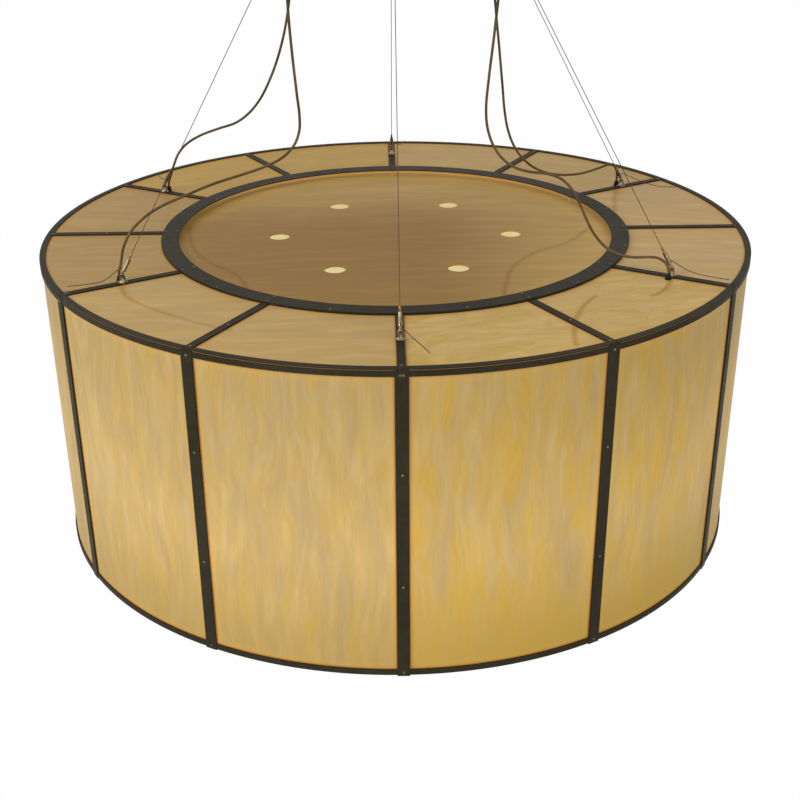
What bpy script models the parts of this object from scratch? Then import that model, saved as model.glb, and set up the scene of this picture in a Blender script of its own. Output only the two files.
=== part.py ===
"""Drum pendant light: a framed drum of translucent sheet, hung from a round canopy on six cables.

Metres, +Z up. The origin is the middle of the ceiling plate's top face, and everything hangs below it.
Spoke 0 points to -Y (the front), and the count goes clockwise as seen from above. The cables, grippers and
swivel bells stand on the even spokes. The lamp carrier's rods hang from the odd ones.
"""

from math import asin, atan2, ceil, cos, hypot, pi, radians, sin, sqrt

import bmesh
import bpy
from mathutils import Matrix, Vector

# Driving sizes of the drum
DRUM_DIAMETER = 1.524
DRUM_HEIGHT = 0.645
BAY_COUNT = 12
FACETS_PER_BAY = 5
TOUCH_GAP = 0.0003

# Top and bottom frames, cut from flat strip
STRIP_THICKNESS = 0.0025
FLANGE_WIDTH = 0.0127
SPOKE_WIDTH = 0.0159
CENTRE_RING_INSET = 0.254
CENTRE_RING_WIDTH = 0.0381
INNER_RIM_WIDTH = 0.019
BOTTOM_FLANGE_WIDTH = 0.020

# Side frame: two hoops and twelve upright bars
HOOP_HEIGHT = 0.0127
HOOP_THICKNESS = 0.003
LEDGE_WIDTH = 0.016
LEDGE_THICKNESS = 0.003
BAR_WIDTH = 0.0254
BAR_THICKNESS = 0.0053
BAR_PROUD = 0.0027
BAR_OVERHANG = 0.002

# Translucent sheets
SHEET_THICKNESS = 0.003
SEAM_GAP = 0.0006
RIM_LIP = 0.002
BAYS_PER_SHEET = 2

# Vented centre disc, wider than the opening above it, hung under the centre ring on short spacers
DISC_LAP = 0.0451
DISC_DROP = 0.012
SPACER_DIAMETER = 0.008
SPACER_LAP = 0.0071
VENT_COUNT = 6
VENT_DIAMETER = 0.0445
VENT_PLACE_SHARE = 0.5
VENT_FACETS = 12

# Lamp carrier and its light strip, inside the drum
CARRIER_THICKNESS = 0.003
CARRIER_HEIGHT = 0.0254
CARRIER_DEPTH = 0.305
CARRIER_FACETS = 36
ROD_DIAMETER = 0.006
ROD_CLEARANCE = 0.0006
ROD_LAP = 0.018
ROD_SINK = 0.001
STRIP_LIGHT_HEIGHT = 0.012
STRIP_LIGHT_THICKNESS = 0.002

# Hanging points on the drum
GRIPPER_INSET = 0.131
BELL_BASE_DIAMETER = 0.020
BELL_TOP_DIAMETER = 0.0106
BELL_HEIGHT = 0.0155
BELL_LIP = 0.0015
PIVOT_HEIGHT = 0.017
BALL_DIAMETER = 0.008
NECK_DIAMETER = 0.0048
TURNED_FACETS = 8

# Cable gripper, measured along its own axis from the ball's centre
GRIPPER_DIAMETER = 0.0092
GRIPPER_START = 0.007
GRIPPER_END = 0.033
GRIPPER_CHAMFER = 0.0006
BORE_DIAMETER = 0.003
BORE_START = 0.008
COUNTERBORE_DIAMETER = 0.0058
COUNTERBORE_START = 0.020
PLUNGER_DIAMETER = 0.0052
PLUNGER_START = 0.0235
NOZZLE_DIAMETER = 0.0046
NOZZLE_SHOULDER = 0.0345
NOZZLE_END = 0.0465
EXIT_HEIGHT = 0.015
EXIT_DIAMETER = 0.003
EXIT_SLOPE = radians(30)

# Suspension cable and the cut tail that leaves the gripper's side
CABLE_DIAMETER = 0.0016
CABLE_END_HEIGHT = 0.028
END_BALL_DIAMETER = 0.007
BARREL_DIAMETER = 0.0044
BARREL_LENGTH = 0.014
BARREL_TAPER = 0.003
TAIL_INSET = 0.0026

# Ceiling canopy and the plate inside it
DRUM_DROP = 0.624
ANCHOR_INSET = 0.025
ANCHOR_DEPTH = 0.060
CANOPY_DIAMETER = 0.610
CANOPY_DEPTH = 0.0508
CANOPY_WALL = 0.0015
CANOPY_EDGE_RADIUS = 0.003
CANOPY_FACETS = 36
PLATE_INSET = 0.013
PLATE_THICKNESS = 0.003
WIRE_HOLE_DIAMETER = 0.070
WIRE_HOLE_INSET = 0.142
WIRE_HOLE_FACETS = 12
SCREW_HOLE_DIAMETER = 0.008
SCREW_HOLE_INSET = 0.072
COUPLER_DIAMETER = 0.012
COUPLER_SEAT = 0.0015
COUPLER_LIP = 0.0012
COUPLER_TIP_DIAMETER = 0.0104
COUPLER_TAPER = 0.0033
COLLAR_DIAMETER = 0.020
COLLAR_HEIGHT = 0.003
COUPLER_CLEARANCE = 0.0006

# Power cords, their strain reliefs and their holes in the canopy
CORD_DIAMETER = 0.0055
CORD_HOLE_CLEARANCE = 0.0006
CORD_CANOPY_INSET = 0.065
CORD_IN_CANOPY = 0.008
CORD_ENTRY_LENGTH = 0.016
RELIEF_OFFSET = 0.017
RELIEF_TIP_DIAMETER = 0.0072
RELIEF_BODY_DIAMETER = 0.011
RELIEF_FLANGE_DIAMETER = 0.013
RELIEF_SHANK_DIAMETER = 0.009
RELIEF_NUT_DIAMETER = 0.012
RELIEF_HEIGHT = 0.012
RELIEF_SHOULDER = 0.006
RELIEF_FLANGE_HEIGHT = 0.0025
RELIEF_NUT_HEIGHT = 0.003
RELIEF_SHANK_LENGTH = 0.0095

CUT_OVERRUN = 0.002
FINE_STEPS = 6
STEP_DIAMETERS = 3
MERGE_DISTANCE = 0.00001

# Levels from the drum's top face down, and radii from its rim inwards
DRUM_TOP = -DRUM_DROP
DRUM_RADIUS = DRUM_DIAMETER / 2
BAY_ANGLE = 2 * pi / BAY_COUNT
FACET_ANGLE = BAY_ANGLE / FACETS_PER_BAY
RING_RADIUS = DRUM_RADIUS - CENTRE_RING_INSET
RING_INNER_RADIUS = RING_RADIUS - CENTRE_RING_WIDTH
DISC_RADIUS = RING_INNER_RADIUS + DISC_LAP
SPACER_CIRCLE_RADIUS = RING_INNER_RADIUS + SPACER_LAP
VENT_CIRCLE_RADIUS = RING_RADIUS * VENT_PLACE_SHARE
GRIPPER_CIRCLE_RADIUS = DRUM_RADIUS - GRIPPER_INSET
CARRIER_RADIUS = GRIPPER_CIRCLE_RADIUS + ROD_DIAMETER / 2 + CARRIER_THICKNESS - ROD_SINK
UNDER_STRIP = -STRIP_THICKNESS - TOUCH_GAP
DRUM_BASE = -DRUM_HEIGHT
HOOP_BASE = DRUM_BASE + BAR_OVERHANG
LEDGE_TOP = HOOP_BASE + LEDGE_THICKNESS
SHEET_OUTER_RADIUS = DRUM_RADIUS - HOOP_THICKNESS - TOUCH_GAP
SHEET_INNER_RADIUS = SHEET_OUTER_RADIUS - SHEET_THICKNESS
TOP_SHEET_BASE = UNDER_STRIP - SHEET_THICKNESS

# The same for the canopy, its plate and what passes through them
CANOPY_RADIUS = CANOPY_DIAMETER / 2
PLATE_RADIUS = CANOPY_RADIUS - PLATE_INSET
ANCHOR_RADIUS = CANOPY_RADIUS - ANCHOR_INSET
CORD_CANOPY_RADIUS = CANOPY_RADIUS - CORD_CANOPY_INSET
WIRE_HOLE_RADIUS = PLATE_RADIUS - WIRE_HOLE_INSET
SCREW_HOLE_RADIUS = PLATE_RADIUS - SCREW_HOLE_INSET

# The line from a bell's ball to its anchor in the canopy
CABLE_RUN = GRIPPER_CIRCLE_RADIUS - ANCHOR_RADIUS
CABLE_RISE = DRUM_DROP - ANCHOR_DEPTH - PIVOT_HEIGHT
CABLE_LEAN = atan2(CABLE_RUN, CABLE_RISE)
CABLE_SPAN = hypot(CABLE_RUN, CABLE_RISE)

GRIPPER_SPOKES = (0, 2, 4, 6, 8, 10)
# Spokes with a power cord, and the side of the spoke that its strain relief stands on
CORD_SPOKES = ((2, -1), (4, -1), (8, 1), (10, -1))

# Each tail's way from the gripper's side: outwards, sideways and up from the bell's foot
TAIL_ROUTES = {
    0: ((0.012, 0.004, 0.0270), (0.032, 0.016, 0.0215), (0.058, 0.033, 0.0150), (0.086, 0.050, 0.0090)),
    2: ((0.012, 0.000, 0.0250), (0.025, -0.002, 0.0160), (0.040, -0.005, 0.0085), (0.070, -0.011, 0.0060),
        (0.106, -0.018, 0.0070)),
    4: ((0.010, -0.002, 0.0300), (0.018, -0.006, 0.0335), (0.026, -0.012, 0.0370)),
    6: ((0.012, -0.004, 0.0270), (0.028, -0.015, 0.0190), (0.058, -0.027, 0.0110), (0.100, -0.036, 0.0090)),
    8: ((0.012, -0.006, 0.0260), (0.024, -0.026, 0.0190), (0.038, -0.056, 0.0130), (0.058, -0.082, 0.0090),
        (0.088, -0.098, 0.0080)),
    10: ((0.012, 0.000, 0.0250), (0.034, -0.002, 0.0170), (0.062, -0.006, 0.0140), (0.094, -0.014, 0.0160),
         (0.124, -0.024, 0.0200)),
}

# Each power cord's way to the canopy: distance from the drum's axis, sideways, and up from the drum's top
CORD_ROUTES = {
    2: ((0.624, -0.017, 0.036), (0.618, -0.015, 0.062), (0.601, -0.013, 0.093), (0.574, -0.010, 0.117),
        (0.540, -0.007, 0.135), (0.479, 0, 0.154), (0.415, 0, 0.168), (0.358, 0, 0.176), (0.305, 0, 0.185),
        (0.265, 0, 0.198), (0.238, 0, 0.219), (0.225, 0, 0.246), (0.223, 0, 0.275), (0.227, 0, 0.320),
        (0.233, 0, 0.390), (0.238, 0, 0.470)),
    4: ((0.622, -0.0165, 0.036), (0.607, -0.013, 0.064), (0.589, -0.010, 0.093), (0.562, -0.007, 0.119),
        (0.516, -0.003, 0.146), (0.460, 0, 0.169), (0.410, 0, 0.188), (0.372, 0, 0.214), (0.340, 0, 0.248),
        (0.312, 0, 0.292), (0.286, 0, 0.346), (0.264, 0, 0.410), (0.249, 0, 0.480)),
    8: ((0.629, 0.0165, 0.033), (0.618, 0.014, 0.048), (0.598, 0.010, 0.0545), (0.570, 0.005, 0.053),
        (0.508, 0, 0.049), (0.452, 0, 0.054), (0.404, 0, 0.067), (0.365, 0, 0.087), (0.334, 0, 0.113),
        (0.310, 0, 0.145), (0.294, 0, 0.181), (0.284, 0, 0.222), (0.276, 0, 0.280), (0.265, 0, 0.360),
        (0.252, 0, 0.450)),
    10: ((0.623, -0.0165, 0.030), (0.606, -0.015, 0.037), (0.584, -0.012, 0.0345), (0.556, -0.007, 0.028),
         (0.526, -0.002, 0.0255), (0.494, 0, 0.034), (0.464, 0, 0.059), (0.444, 0, 0.089), (0.427, 0, 0.120),
         (0.408, 0, 0.147), (0.384, 0, 0.164), (0.354, 0, 0.170), (0.315, 0, 0.169), (0.281, 0, 0.174),
         (0.253, 0, 0.189), (0.231, 0, 0.215), (0.218, 0, 0.248), (0.214, 0, 0.286), (0.219, 0, 0.350),
         (0.228, 0, 0.430)),
}


def spoke_angle(spoke):
    """The direction of a spoke, seen from above."""
    return -pi / 2 - spoke * BAY_ANGLE


def radial(spoke, outwards, sideways, up):
    """A point given by a spoke's own directions, in the drum's frame."""
    angle = spoke_angle(spoke)
    return Vector((
        outwards * cos(angle) - sideways * sin(angle),
        outwards * sin(angle) + sideways * cos(angle),
        up,
    ))


def collection(name):
    made = bpy.data.collections.new(name)
    bpy.context.scene.collection.children.link(made)
    return made


def finish(name, colour, roughness, metallic):
    """A plain finish for a group of pieces."""
    made = bpy.data.materials.new(name)
    made.use_nodes = True
    shader = made.node_tree.nodes["Principled BSDF"]
    shader.inputs["Base Color"].default_value = (*colour, 1)
    shader.inputs["Roughness"].default_value = roughness
    shader.inputs["Metallic"].default_value = metallic
    return made


def empty(name, location, rotation=(0, 0, 0), parent=None):
    """A pivot or carrier that pieces are parented to."""
    made = bpy.data.objects.new(name, None)
    made.location = location
    made.rotation_euler = rotation
    made.parent = parent
    pieces.objects.link(made)
    return made


def piece(name, data, material, parent=None, location=(0, 0, 0), rotation=(0, 0, 0)):
    """One named sub-part with its own finish."""
    made = bpy.data.objects.new(name, data)
    data.materials.clear()
    data.materials.append(material)
    made.location = location
    made.rotation_euler = rotation
    made.parent = parent
    pieces.objects.link(made)
    return made


def combine(target, tool, operation):
    """Joins a helper solid to a piece, or cuts the piece with it. The helper isn't part of the model."""
    pieces.objects.unlink(tool)
    helpers.objects.link(tool)
    tool.hide_render = True
    tool.display_type = "WIRE"
    modifier = target.modifiers.new(operation.title(), "BOOLEAN")
    modifier.operation = operation
    modifier.object = tool
    modifier.solver = "EXACT"


def mesh_from(name, build):
    """A mesh whose shape is made by a function that is given an empty bmesh."""
    data = bpy.data.meshes.new(name)
    shape = bmesh.new()
    build(shape)
    shape.to_mesh(data)
    shape.free()
    return data


def circle(radius, facets, centre=(0, 0)):
    return [
        (centre[0] + radius * cos(2 * pi * i / facets), centre[1] + radius * sin(2 * pi * i / facets))
        for i in range(facets)
    ]


def rim_circle(radius):
    """A circle whose corners line up with those of every other rim."""
    return circle(radius, BAY_COUNT * FACETS_PER_BAY)


def sector(inner_radius, outer_radius, first_spoke, bays, edge_offset):
    """Part of a ring between two spoke lines, whose straight ends stay an offset away from those lines."""
    start = spoke_angle(first_spoke + bays)

    def arc(radius):
        lean = asin(edge_offset / radius)
        inside = [start + i * FACET_ANGLE for i in range(1, bays * FACETS_PER_BAY)]
        return [
            (radius * cos(angle), radius * sin(angle))
            for angle in (start + lean, *inside, start + bays * BAY_ANGLE - lean)
        ]

    return arc(outer_radius) + arc(inner_radius)[::-1]


def plate(name, loops, low, high, material, parent):
    """A flat outline with its holes, as thick as the space between two levels."""
    outline = bpy.data.curves.new(name, "CURVE")
    outline.dimensions = "2D"
    outline.fill_mode = "BOTH"
    outline.extrude = (high - low) / 2
    for loop in loops:
        spline = outline.splines.new("POLY")
        spline.points.add(len(loop) - 1)
        spline.use_cyclic_u = True
        for point, (x, y) in zip(spline.points, loop):
            point.co = (x, y, 0, 1)
    return piece(name, outline, material, parent, (0, 0, (high + low) / 2))


def welded(flat):
    """The same piece as a welded mesh, so that other solids can be joined to it."""
    name, parent, material = flat.name, flat.parent, flat.data.materials[0]
    bpy.context.view_layer.update()
    data = bpy.data.meshes.new_from_object(flat.evaluated_get(bpy.context.evaluated_depsgraph_get()))
    shape = bmesh.new()
    shape.from_mesh(data)
    bmesh.ops.remove_doubles(shape, verts=shape.verts, dist=MERGE_DISTANCE)
    bmesh.ops.recalc_face_normals(shape, faces=shape.faces)
    shape.to_mesh(data)
    shape.free()
    location = flat.location.copy()
    bpy.data.objects.remove(flat)
    data.name = name
    return piece(name, data, material, parent, location)


def turned(
    name, profile, facets, material, parent=None, location=(0, 0, 0), rotation=(0, 0, 0), closed=False,
):
    """A turned piece: its profile of radius and height goes down the outer side, and is spun about Z."""
    def draw(shape):
        corners = [shape.verts.new((radius, 0, height)) for radius, height in profile]
        for first, second in zip(corners, corners[1:]):
            shape.edges.new((first, second))
        if closed:
            shape.edges.new((corners[-1], corners[0]))

    made = piece(name, mesh_from(name, draw), material, parent, location, rotation)
    spin = made.modifiers.new("Spin", "SCREW")
    spin.axis = "Z"
    spin.angle = 2 * pi
    spin.steps = facets
    spin.render_steps = facets
    spin.use_merge_vertices = True
    spin.merge_threshold = MERGE_DISTANCE
    return made


def ball_arc(radius, centre_height, start_angle, end_angle, steps):
    """Points on a ball's outline. The angle is measured down from the top of the ball."""
    angles = [start_angle + (end_angle - start_angle) * i / steps for i in range(steps + 1)]
    points = [(radius * sin(angle), centre_height + radius * cos(angle)) for angle in angles]
    return [(0 if abs(r) < MERGE_DISTANCE else r, z) for r, z in points]


def upright_cylinders(shape, places, radius, low, high, facets):
    """Round posts or drills that stand at several places."""
    for x, y in places:
        bmesh.ops.create_cone(
            shape, cap_ends=True, segments=facets, radius1=radius, radius2=radius, depth=high - low,
            matrix=Matrix.Translation((x, y, (high + low) / 2)),
        )


def smooth_line(points, step):
    """Evenly spaced points on a smooth curve through the given ones. Its two end parts are straight."""
    dense = []
    for before, first, second, after in zip(points, points[1:], points[2:], points[3:]):
        knots = [0]
        for a, b in ((before, first), (first, second), (second, after)):
            knots.append(knots[-1] + sqrt((b - a).length))
        span = knots[2] - knots[1]
        slope_first = span * (
            (first - before) / knots[1] - (second - before) / knots[2] + (second - first) / span
        )
        slope_second = span * (
            (second - first) / span - (after - first) / (knots[3] - knots[1])
            + (after - second) / (knots[3] - knots[2])
        )
        count = ceil((second - first).length / step) * FINE_STEPS
        for j in range(count):
            t = j / count
            dense.append(
                first * (1 + 2 * t) * (1 - t) ** 2 + slope_first * t * (1 - t) ** 2
                + second * t * t * (3 - 2 * t) + slope_second * t * t * (t - 1)
            )
    dense.append(points[-2])
    lengths = [0]
    for a, b in zip(dense, dense[1:]):
        lengths.append(lengths[-1] + (b - a).length)
    count = ceil(lengths[-1] / step)
    even, at = [points[0]], 0
    for i in range(count + 1):
        wanted = lengths[-1] * i / count
        while at < len(dense) - 2 and lengths[at + 1] < wanted:
            at += 1
        share = (wanted - lengths[at]) / (lengths[at + 1] - lengths[at])
        even.append(dense[at].lerp(dense[at + 1], share))
    even.append(points[-1])
    length = sum((b - a).length for a, b in zip(even, even[1:]))
    return even, length


def tube(name, points, diameter, material, parent):
    """A wire or cord along a line of points."""
    line = bpy.data.curves.new(name, "CURVE")
    line.dimensions = "3D"
    line.bevel_depth = diameter / 2
    line.bevel_resolution = 2
    line.use_fill_caps = True
    spline = line.splines.new("POLY")
    spline.points.add(len(points) - 1)
    for target, point in zip(spline.points, points):
        target.co = (*point, 1)
    return piece(name, line, material, parent)


def make_canopy():
    """The ceiling plate with six cable couplers, and the pan that hides it."""
    screw_places = [
        (SCREW_HOLE_RADIUS * cos(spoke_angle(k)), SCREW_HOLE_RADIUS * sin(spoke_angle(k)))
        for k in range(1, BAY_COUNT, 2)
    ]
    wire_places = [(WIRE_HOLE_RADIUS, 0), (-WIRE_HOLE_RADIUS, 0)]
    holes = [circle(SCREW_HOLE_DIAMETER / 2, TURNED_FACETS, place) for place in screw_places]
    holes += [circle(WIRE_HOLE_DIAMETER / 2, WIRE_HOLE_FACETS, place) for place in wire_places]
    rim = circle(PLATE_RADIUS, CANOPY_FACETS)
    ceiling_plate = welded(plate("ceiling_plate", [rim, *holes], -PLATE_THICKNESS, 0, galvanised, None))
    collar_top = -CANOPY_DEPTH - TOUCH_GAP
    lip = -ANCHOR_DEPTH + COUPLER_LIP
    socket_radius = END_BALL_DIAMETER / 2 + TOUCH_GAP
    profile = [
        (0, -COUPLER_SEAT),
        (COUPLER_DIAMETER / 2, -COUPLER_SEAT),
        (COUPLER_DIAMETER / 2, collar_top),
        (COLLAR_DIAMETER / 2, collar_top),
        (COLLAR_DIAMETER / 2, collar_top - COLLAR_HEIGHT),
        (COUPLER_DIAMETER / 2, lip + COUPLER_TAPER),
        (COUPLER_TIP_DIAMETER / 2, lip),
        *ball_arc(socket_radius, -ANCHOR_DEPTH, pi / 2 - asin(COUPLER_LIP / socket_radius), 0, 2),
    ]
    for spoke in GRIPPER_SPOKES:
        coupler = turned(f"coupler_{spoke}", profile, TURNED_FACETS, galvanised,
                         location=radial(spoke, ANCHOR_RADIUS, 0, 0))
        combine(ceiling_plate, coupler, "UNION")

    outer = CANOPY_RADIUS
    inner = outer - CANOPY_WALL
    pan = turned(
        "canopy_pan",
        [
            (0, CANOPY_WALL - CANOPY_DEPTH),
            (inner - CANOPY_EDGE_RADIUS, CANOPY_WALL - CANOPY_DEPTH),
            (inner, CANOPY_WALL - CANOPY_DEPTH + CANOPY_EDGE_RADIUS),
            (inner, -TOUCH_GAP),
            (outer, -TOUCH_GAP),
            (outer, CANOPY_EDGE_RADIUS - CANOPY_DEPTH),
            (outer - CANOPY_EDGE_RADIUS, -CANOPY_DEPTH),
            (0, -CANOPY_DEPTH),
        ],
        CANOPY_FACETS, bronze,
    )
    coupler_places = [radial(spoke, ANCHOR_RADIUS, 0, 0).xy for spoke in GRIPPER_SPOKES]
    cord_places = [radial(spoke, CORD_CANOPY_RADIUS, 0, 0).xy for spoke, _ in CORD_SPOKES]
    low, high = -CANOPY_DEPTH - CUT_OVERRUN, CANOPY_WALL - CANOPY_DEPTH + CUT_OVERRUN

    def drill(shape):
        coupler_hole = COUPLER_DIAMETER / 2 + COUPLER_CLEARANCE
        cord_hole = CORD_DIAMETER / 2 + CORD_HOLE_CLEARANCE
        upright_cylinders(shape, coupler_places, coupler_hole, low, high, TURNED_FACETS)
        upright_cylinders(shape, cord_places, cord_hole, low, high, TURNED_FACETS)

    combine(pan, piece("canopy_drills", mesh_from("canopy_drills", drill), bronze), "DIFFERENCE")


def make_top_frame(drum):
    """The rim, spokes and inner rim, cut from one sheet; the centre ring with its spacers; the disc."""
    windows = [
        sector(RING_RADIUS, DRUM_RADIUS - FLANGE_WIDTH, k, 1, SPOKE_WIDTH / 2) for k in range(BAY_COUNT)
    ]
    middle = rim_circle(RING_RADIUS - INNER_RIM_WIDTH)
    plate("top_frame", [rim_circle(DRUM_RADIUS), middle, *windows], -STRIP_THICKNESS, 0, bronze, drum)

    ring_base = TOUCH_GAP
    ring = welded(plate(
        "centre_ring", [rim_circle(RING_RADIUS), rim_circle(RING_INNER_RADIUS)],
        ring_base, ring_base + STRIP_THICKNESS, bronze, drum,
    ))
    spacer_places = [radial(k, SPACER_CIRCLE_RADIUS, 0, 0).xy for k in range(0, BAY_COUNT, 2)]

    def posts(shape):
        upright_cylinders(
            shape, spacer_places, SPACER_DIAMETER / 2, TOUCH_GAP - DISC_DROP, ring_base + STRIP_THICKNESS / 2,
            TURNED_FACETS,
        )

    spacers = piece("ring_spacers", mesh_from("ring_spacers", posts), bronze, drum)
    combine(ring, spacers, "UNION")

    vents = [
        circle(VENT_DIAMETER / 2, VENT_FACETS, radial(k, VENT_CIRCLE_RADIUS, 0, 0).xy)
        for k in range(1, BAY_COUNT, BAY_COUNT // VENT_COUNT)
    ]
    outline = [rim_circle(DISC_RADIUS), *vents]
    plate("centre_disc", outline, -DISC_DROP - SHEET_THICKNESS, -DISC_DROP, amber, drum)


def make_top_sheets(drum):
    """Six flat sheets under the spokes, with holes for the carrier's rods and for the strain reliefs."""
    for number, spoke in enumerate(GRIPPER_SPOKES, 1):
        rod_hole = circle(
            ROD_DIAMETER / 2 + ROD_CLEARANCE, TURNED_FACETS, radial(spoke + 1, GRIPPER_CIRCLE_RADIUS, 0, 0).xy
        )
        relief_holes = [
            circle(RELIEF_SHANK_DIAMETER / 2 + TOUCH_GAP, TURNED_FACETS, relief_place(k, side).xy)
            for k, side in CORD_SPOKES
            if (side < 0 and k == spoke) or (side > 0 and k == (spoke + BAYS_PER_SHEET) % BAY_COUNT)
        ]
        inner = RING_RADIUS - INNER_RIM_WIDTH + RIM_LIP
        outline = sector(inner, SHEET_OUTER_RADIUS, spoke, BAYS_PER_SHEET, SEAM_GAP / 2)
        holes = [rod_hole, *relief_holes]
        plate(f"top_sheet_{number}", [outline, *holes], TOP_SHEET_BASE, UNDER_STRIP, amber, drum)


def make_side(drum):
    """The two hoops and twelve bars as one welded cage, and the six curved sheets that it holds."""
    top_hoop = turned(
        "side_frame",
        [
            (DRUM_RADIUS, UNDER_STRIP),
            (DRUM_RADIUS, UNDER_STRIP - HOOP_HEIGHT),
            (DRUM_RADIUS - HOOP_THICKNESS, UNDER_STRIP - HOOP_HEIGHT),
            (DRUM_RADIUS - HOOP_THICKNESS, UNDER_STRIP),
        ],
        BAY_COUNT * FACETS_PER_BAY, bronze, drum, closed=True,
    )
    bottom_hoop = turned(
        "bottom_hoop",
        [
            (DRUM_RADIUS, HOOP_BASE + HOOP_HEIGHT),
            (DRUM_RADIUS, HOOP_BASE),
            (DRUM_RADIUS - LEDGE_WIDTH, HOOP_BASE),
            (DRUM_RADIUS - LEDGE_WIDTH, LEDGE_TOP),
            (DRUM_RADIUS - HOOP_THICKNESS, LEDGE_TOP),
            (DRUM_RADIUS - HOOP_THICKNESS, HOOP_BASE + HOOP_HEIGHT),
        ],
        BAY_COUNT * FACETS_PER_BAY, bronze, drum, closed=True,
    )

    def bars(shape):
        length = UNDER_STRIP - DRUM_BASE
        middle_radius = DRUM_RADIUS + BAR_PROUD - BAR_THICKNESS / 2
        for spoke in range(BAY_COUNT):
            place = Matrix.Translation(radial(spoke, middle_radius, 0, DRUM_BASE + length / 2))
            turn = Matrix.Rotation(spoke_angle(spoke), 4, "Z")
            size = Matrix.Diagonal((BAR_THICKNESS, BAR_WIDTH, length, 1))
            bmesh.ops.create_cube(shape, size=1, matrix=place @ turn @ size)

    bar_set = piece("side_bars", mesh_from("side_bars", bars), bronze, drum)
    combine(top_hoop, bar_set, "UNION")
    combine(top_hoop, bottom_hoop, "UNION")

    for number, spoke in enumerate(GRIPPER_SPOKES, 1):
        outline = sector(SHEET_INNER_RADIUS, SHEET_OUTER_RADIUS, spoke, BAYS_PER_SHEET, SEAM_GAP / 2)
        plate(
            f"side_sheet_{number}", [outline], LEDGE_TOP + TOUCH_GAP, TOP_SHEET_BASE - TOUCH_GAP, amber, drum
        )


def make_bottom(drum):
    """The spoked bottom frame that lies on the bottom hoop's ledge, and the diffuser that lies on it."""
    outer = SHEET_INNER_RADIUS - TOUCH_GAP
    frame_base = LEDGE_TOP + TOUCH_GAP
    frame_top = frame_base + STRIP_THICKNESS
    windows = [
        sector(RING_RADIUS, outer - BOTTOM_FLANGE_WIDTH, k, 1, SPOKE_WIDTH / 2) for k in range(BAY_COUNT)
    ]
    middle = rim_circle(RING_INNER_RADIUS)
    plate("bottom_frame", [rim_circle(outer), middle, *windows], frame_base, frame_top, bronze, drum)
    sheet_base = frame_top + TOUCH_GAP
    plate("bottom_diffuser", [rim_circle(outer)], sheet_base, sheet_base + SHEET_THICKNESS, amber, drum)


def make_lamp_carrier(drum):
    """A ring at mid height, hung from the odd spokes on six rods, with a light strip round its outside."""
    low, high = -CARRIER_DEPTH - CARRIER_HEIGHT, -CARRIER_DEPTH
    inner = CARRIER_RADIUS - CARRIER_THICKNESS
    carrier = turned(
        "lamp_carrier", [(CARRIER_RADIUS, high), (CARRIER_RADIUS, low), (inner, low), (inner, high)],
        CARRIER_FACETS, galvanised, drum, closed=True,
    )
    rod_places = [radial(k, GRIPPER_CIRCLE_RADIUS, 0, 0).xy for k in range(1, BAY_COUNT, 2)]

    def rods(shape):
        upright_cylinders(shape, rod_places, ROD_DIAMETER / 2, high - ROD_LAP, UNDER_STRIP, TURNED_FACETS)

    combine(carrier, piece("carrier_rods", mesh_from("carrier_rods", rods), galvanised, drum), "UNION")

    strip_inner = CARRIER_RADIUS + TOUCH_GAP
    strip_outer = strip_inner + STRIP_LIGHT_THICKNESS
    middle = (low + high) / 2
    strip_high, strip_low = middle + STRIP_LIGHT_HEIGHT / 2, middle - STRIP_LIGHT_HEIGHT / 2
    strip_profile = [
        (strip_outer, strip_high),
        (strip_outer, strip_low),
        (strip_inner, strip_low),
        (strip_inner, strip_high),
    ]
    turned("light_strip", strip_profile, CARRIER_FACETS, lit, drum, closed=True)


def relief_place(spoke, side):
    """Where a strain relief stands on the top sheet, beside its spoke's bell."""
    return radial(spoke, GRIPPER_CIRCLE_RADIUS, side * RELIEF_OFFSET, 0)


def make_bells(drum):
    """Swivel bells screwed to the even spokes; each has a spherical seat for the gripper's ball."""
    seat_radius = BALL_DIAMETER / 2 + TOUCH_GAP
    top = BELL_HEIGHT
    base_radius, top_radius = BELL_BASE_DIAMETER / 2, BELL_TOP_DIAMETER / 2
    flare_shares = ((0.00, 0.76), (0.06, 0.52), (0.45, 0.26), (0.92, 0.10))
    profile = [
        *ball_arc(seat_radius, PIVOT_HEIGHT, pi, pi - asin(sqrt(1 - (BELL_LIP / seat_radius) ** 2)), 2),
        (top_radius, top),
        *[
            (top_radius + (base_radius - top_radius) * out, TOUCH_GAP + (top - TOUCH_GAP) * height)
            for out, height in flare_shares
        ],
        (base_radius, TOUCH_GAP),
        (0, TOUCH_GAP),
    ]
    for number, spoke in enumerate(GRIPPER_SPOKES, 1):
        turned(
            f"gripper_bell_{number}", profile, TURNED_FACETS, nickel, drum,
            location=radial(spoke, GRIPPER_CIRCLE_RADIUS, 0, 0), rotation=(0, 0, spoke_angle(spoke)),
        )


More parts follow.
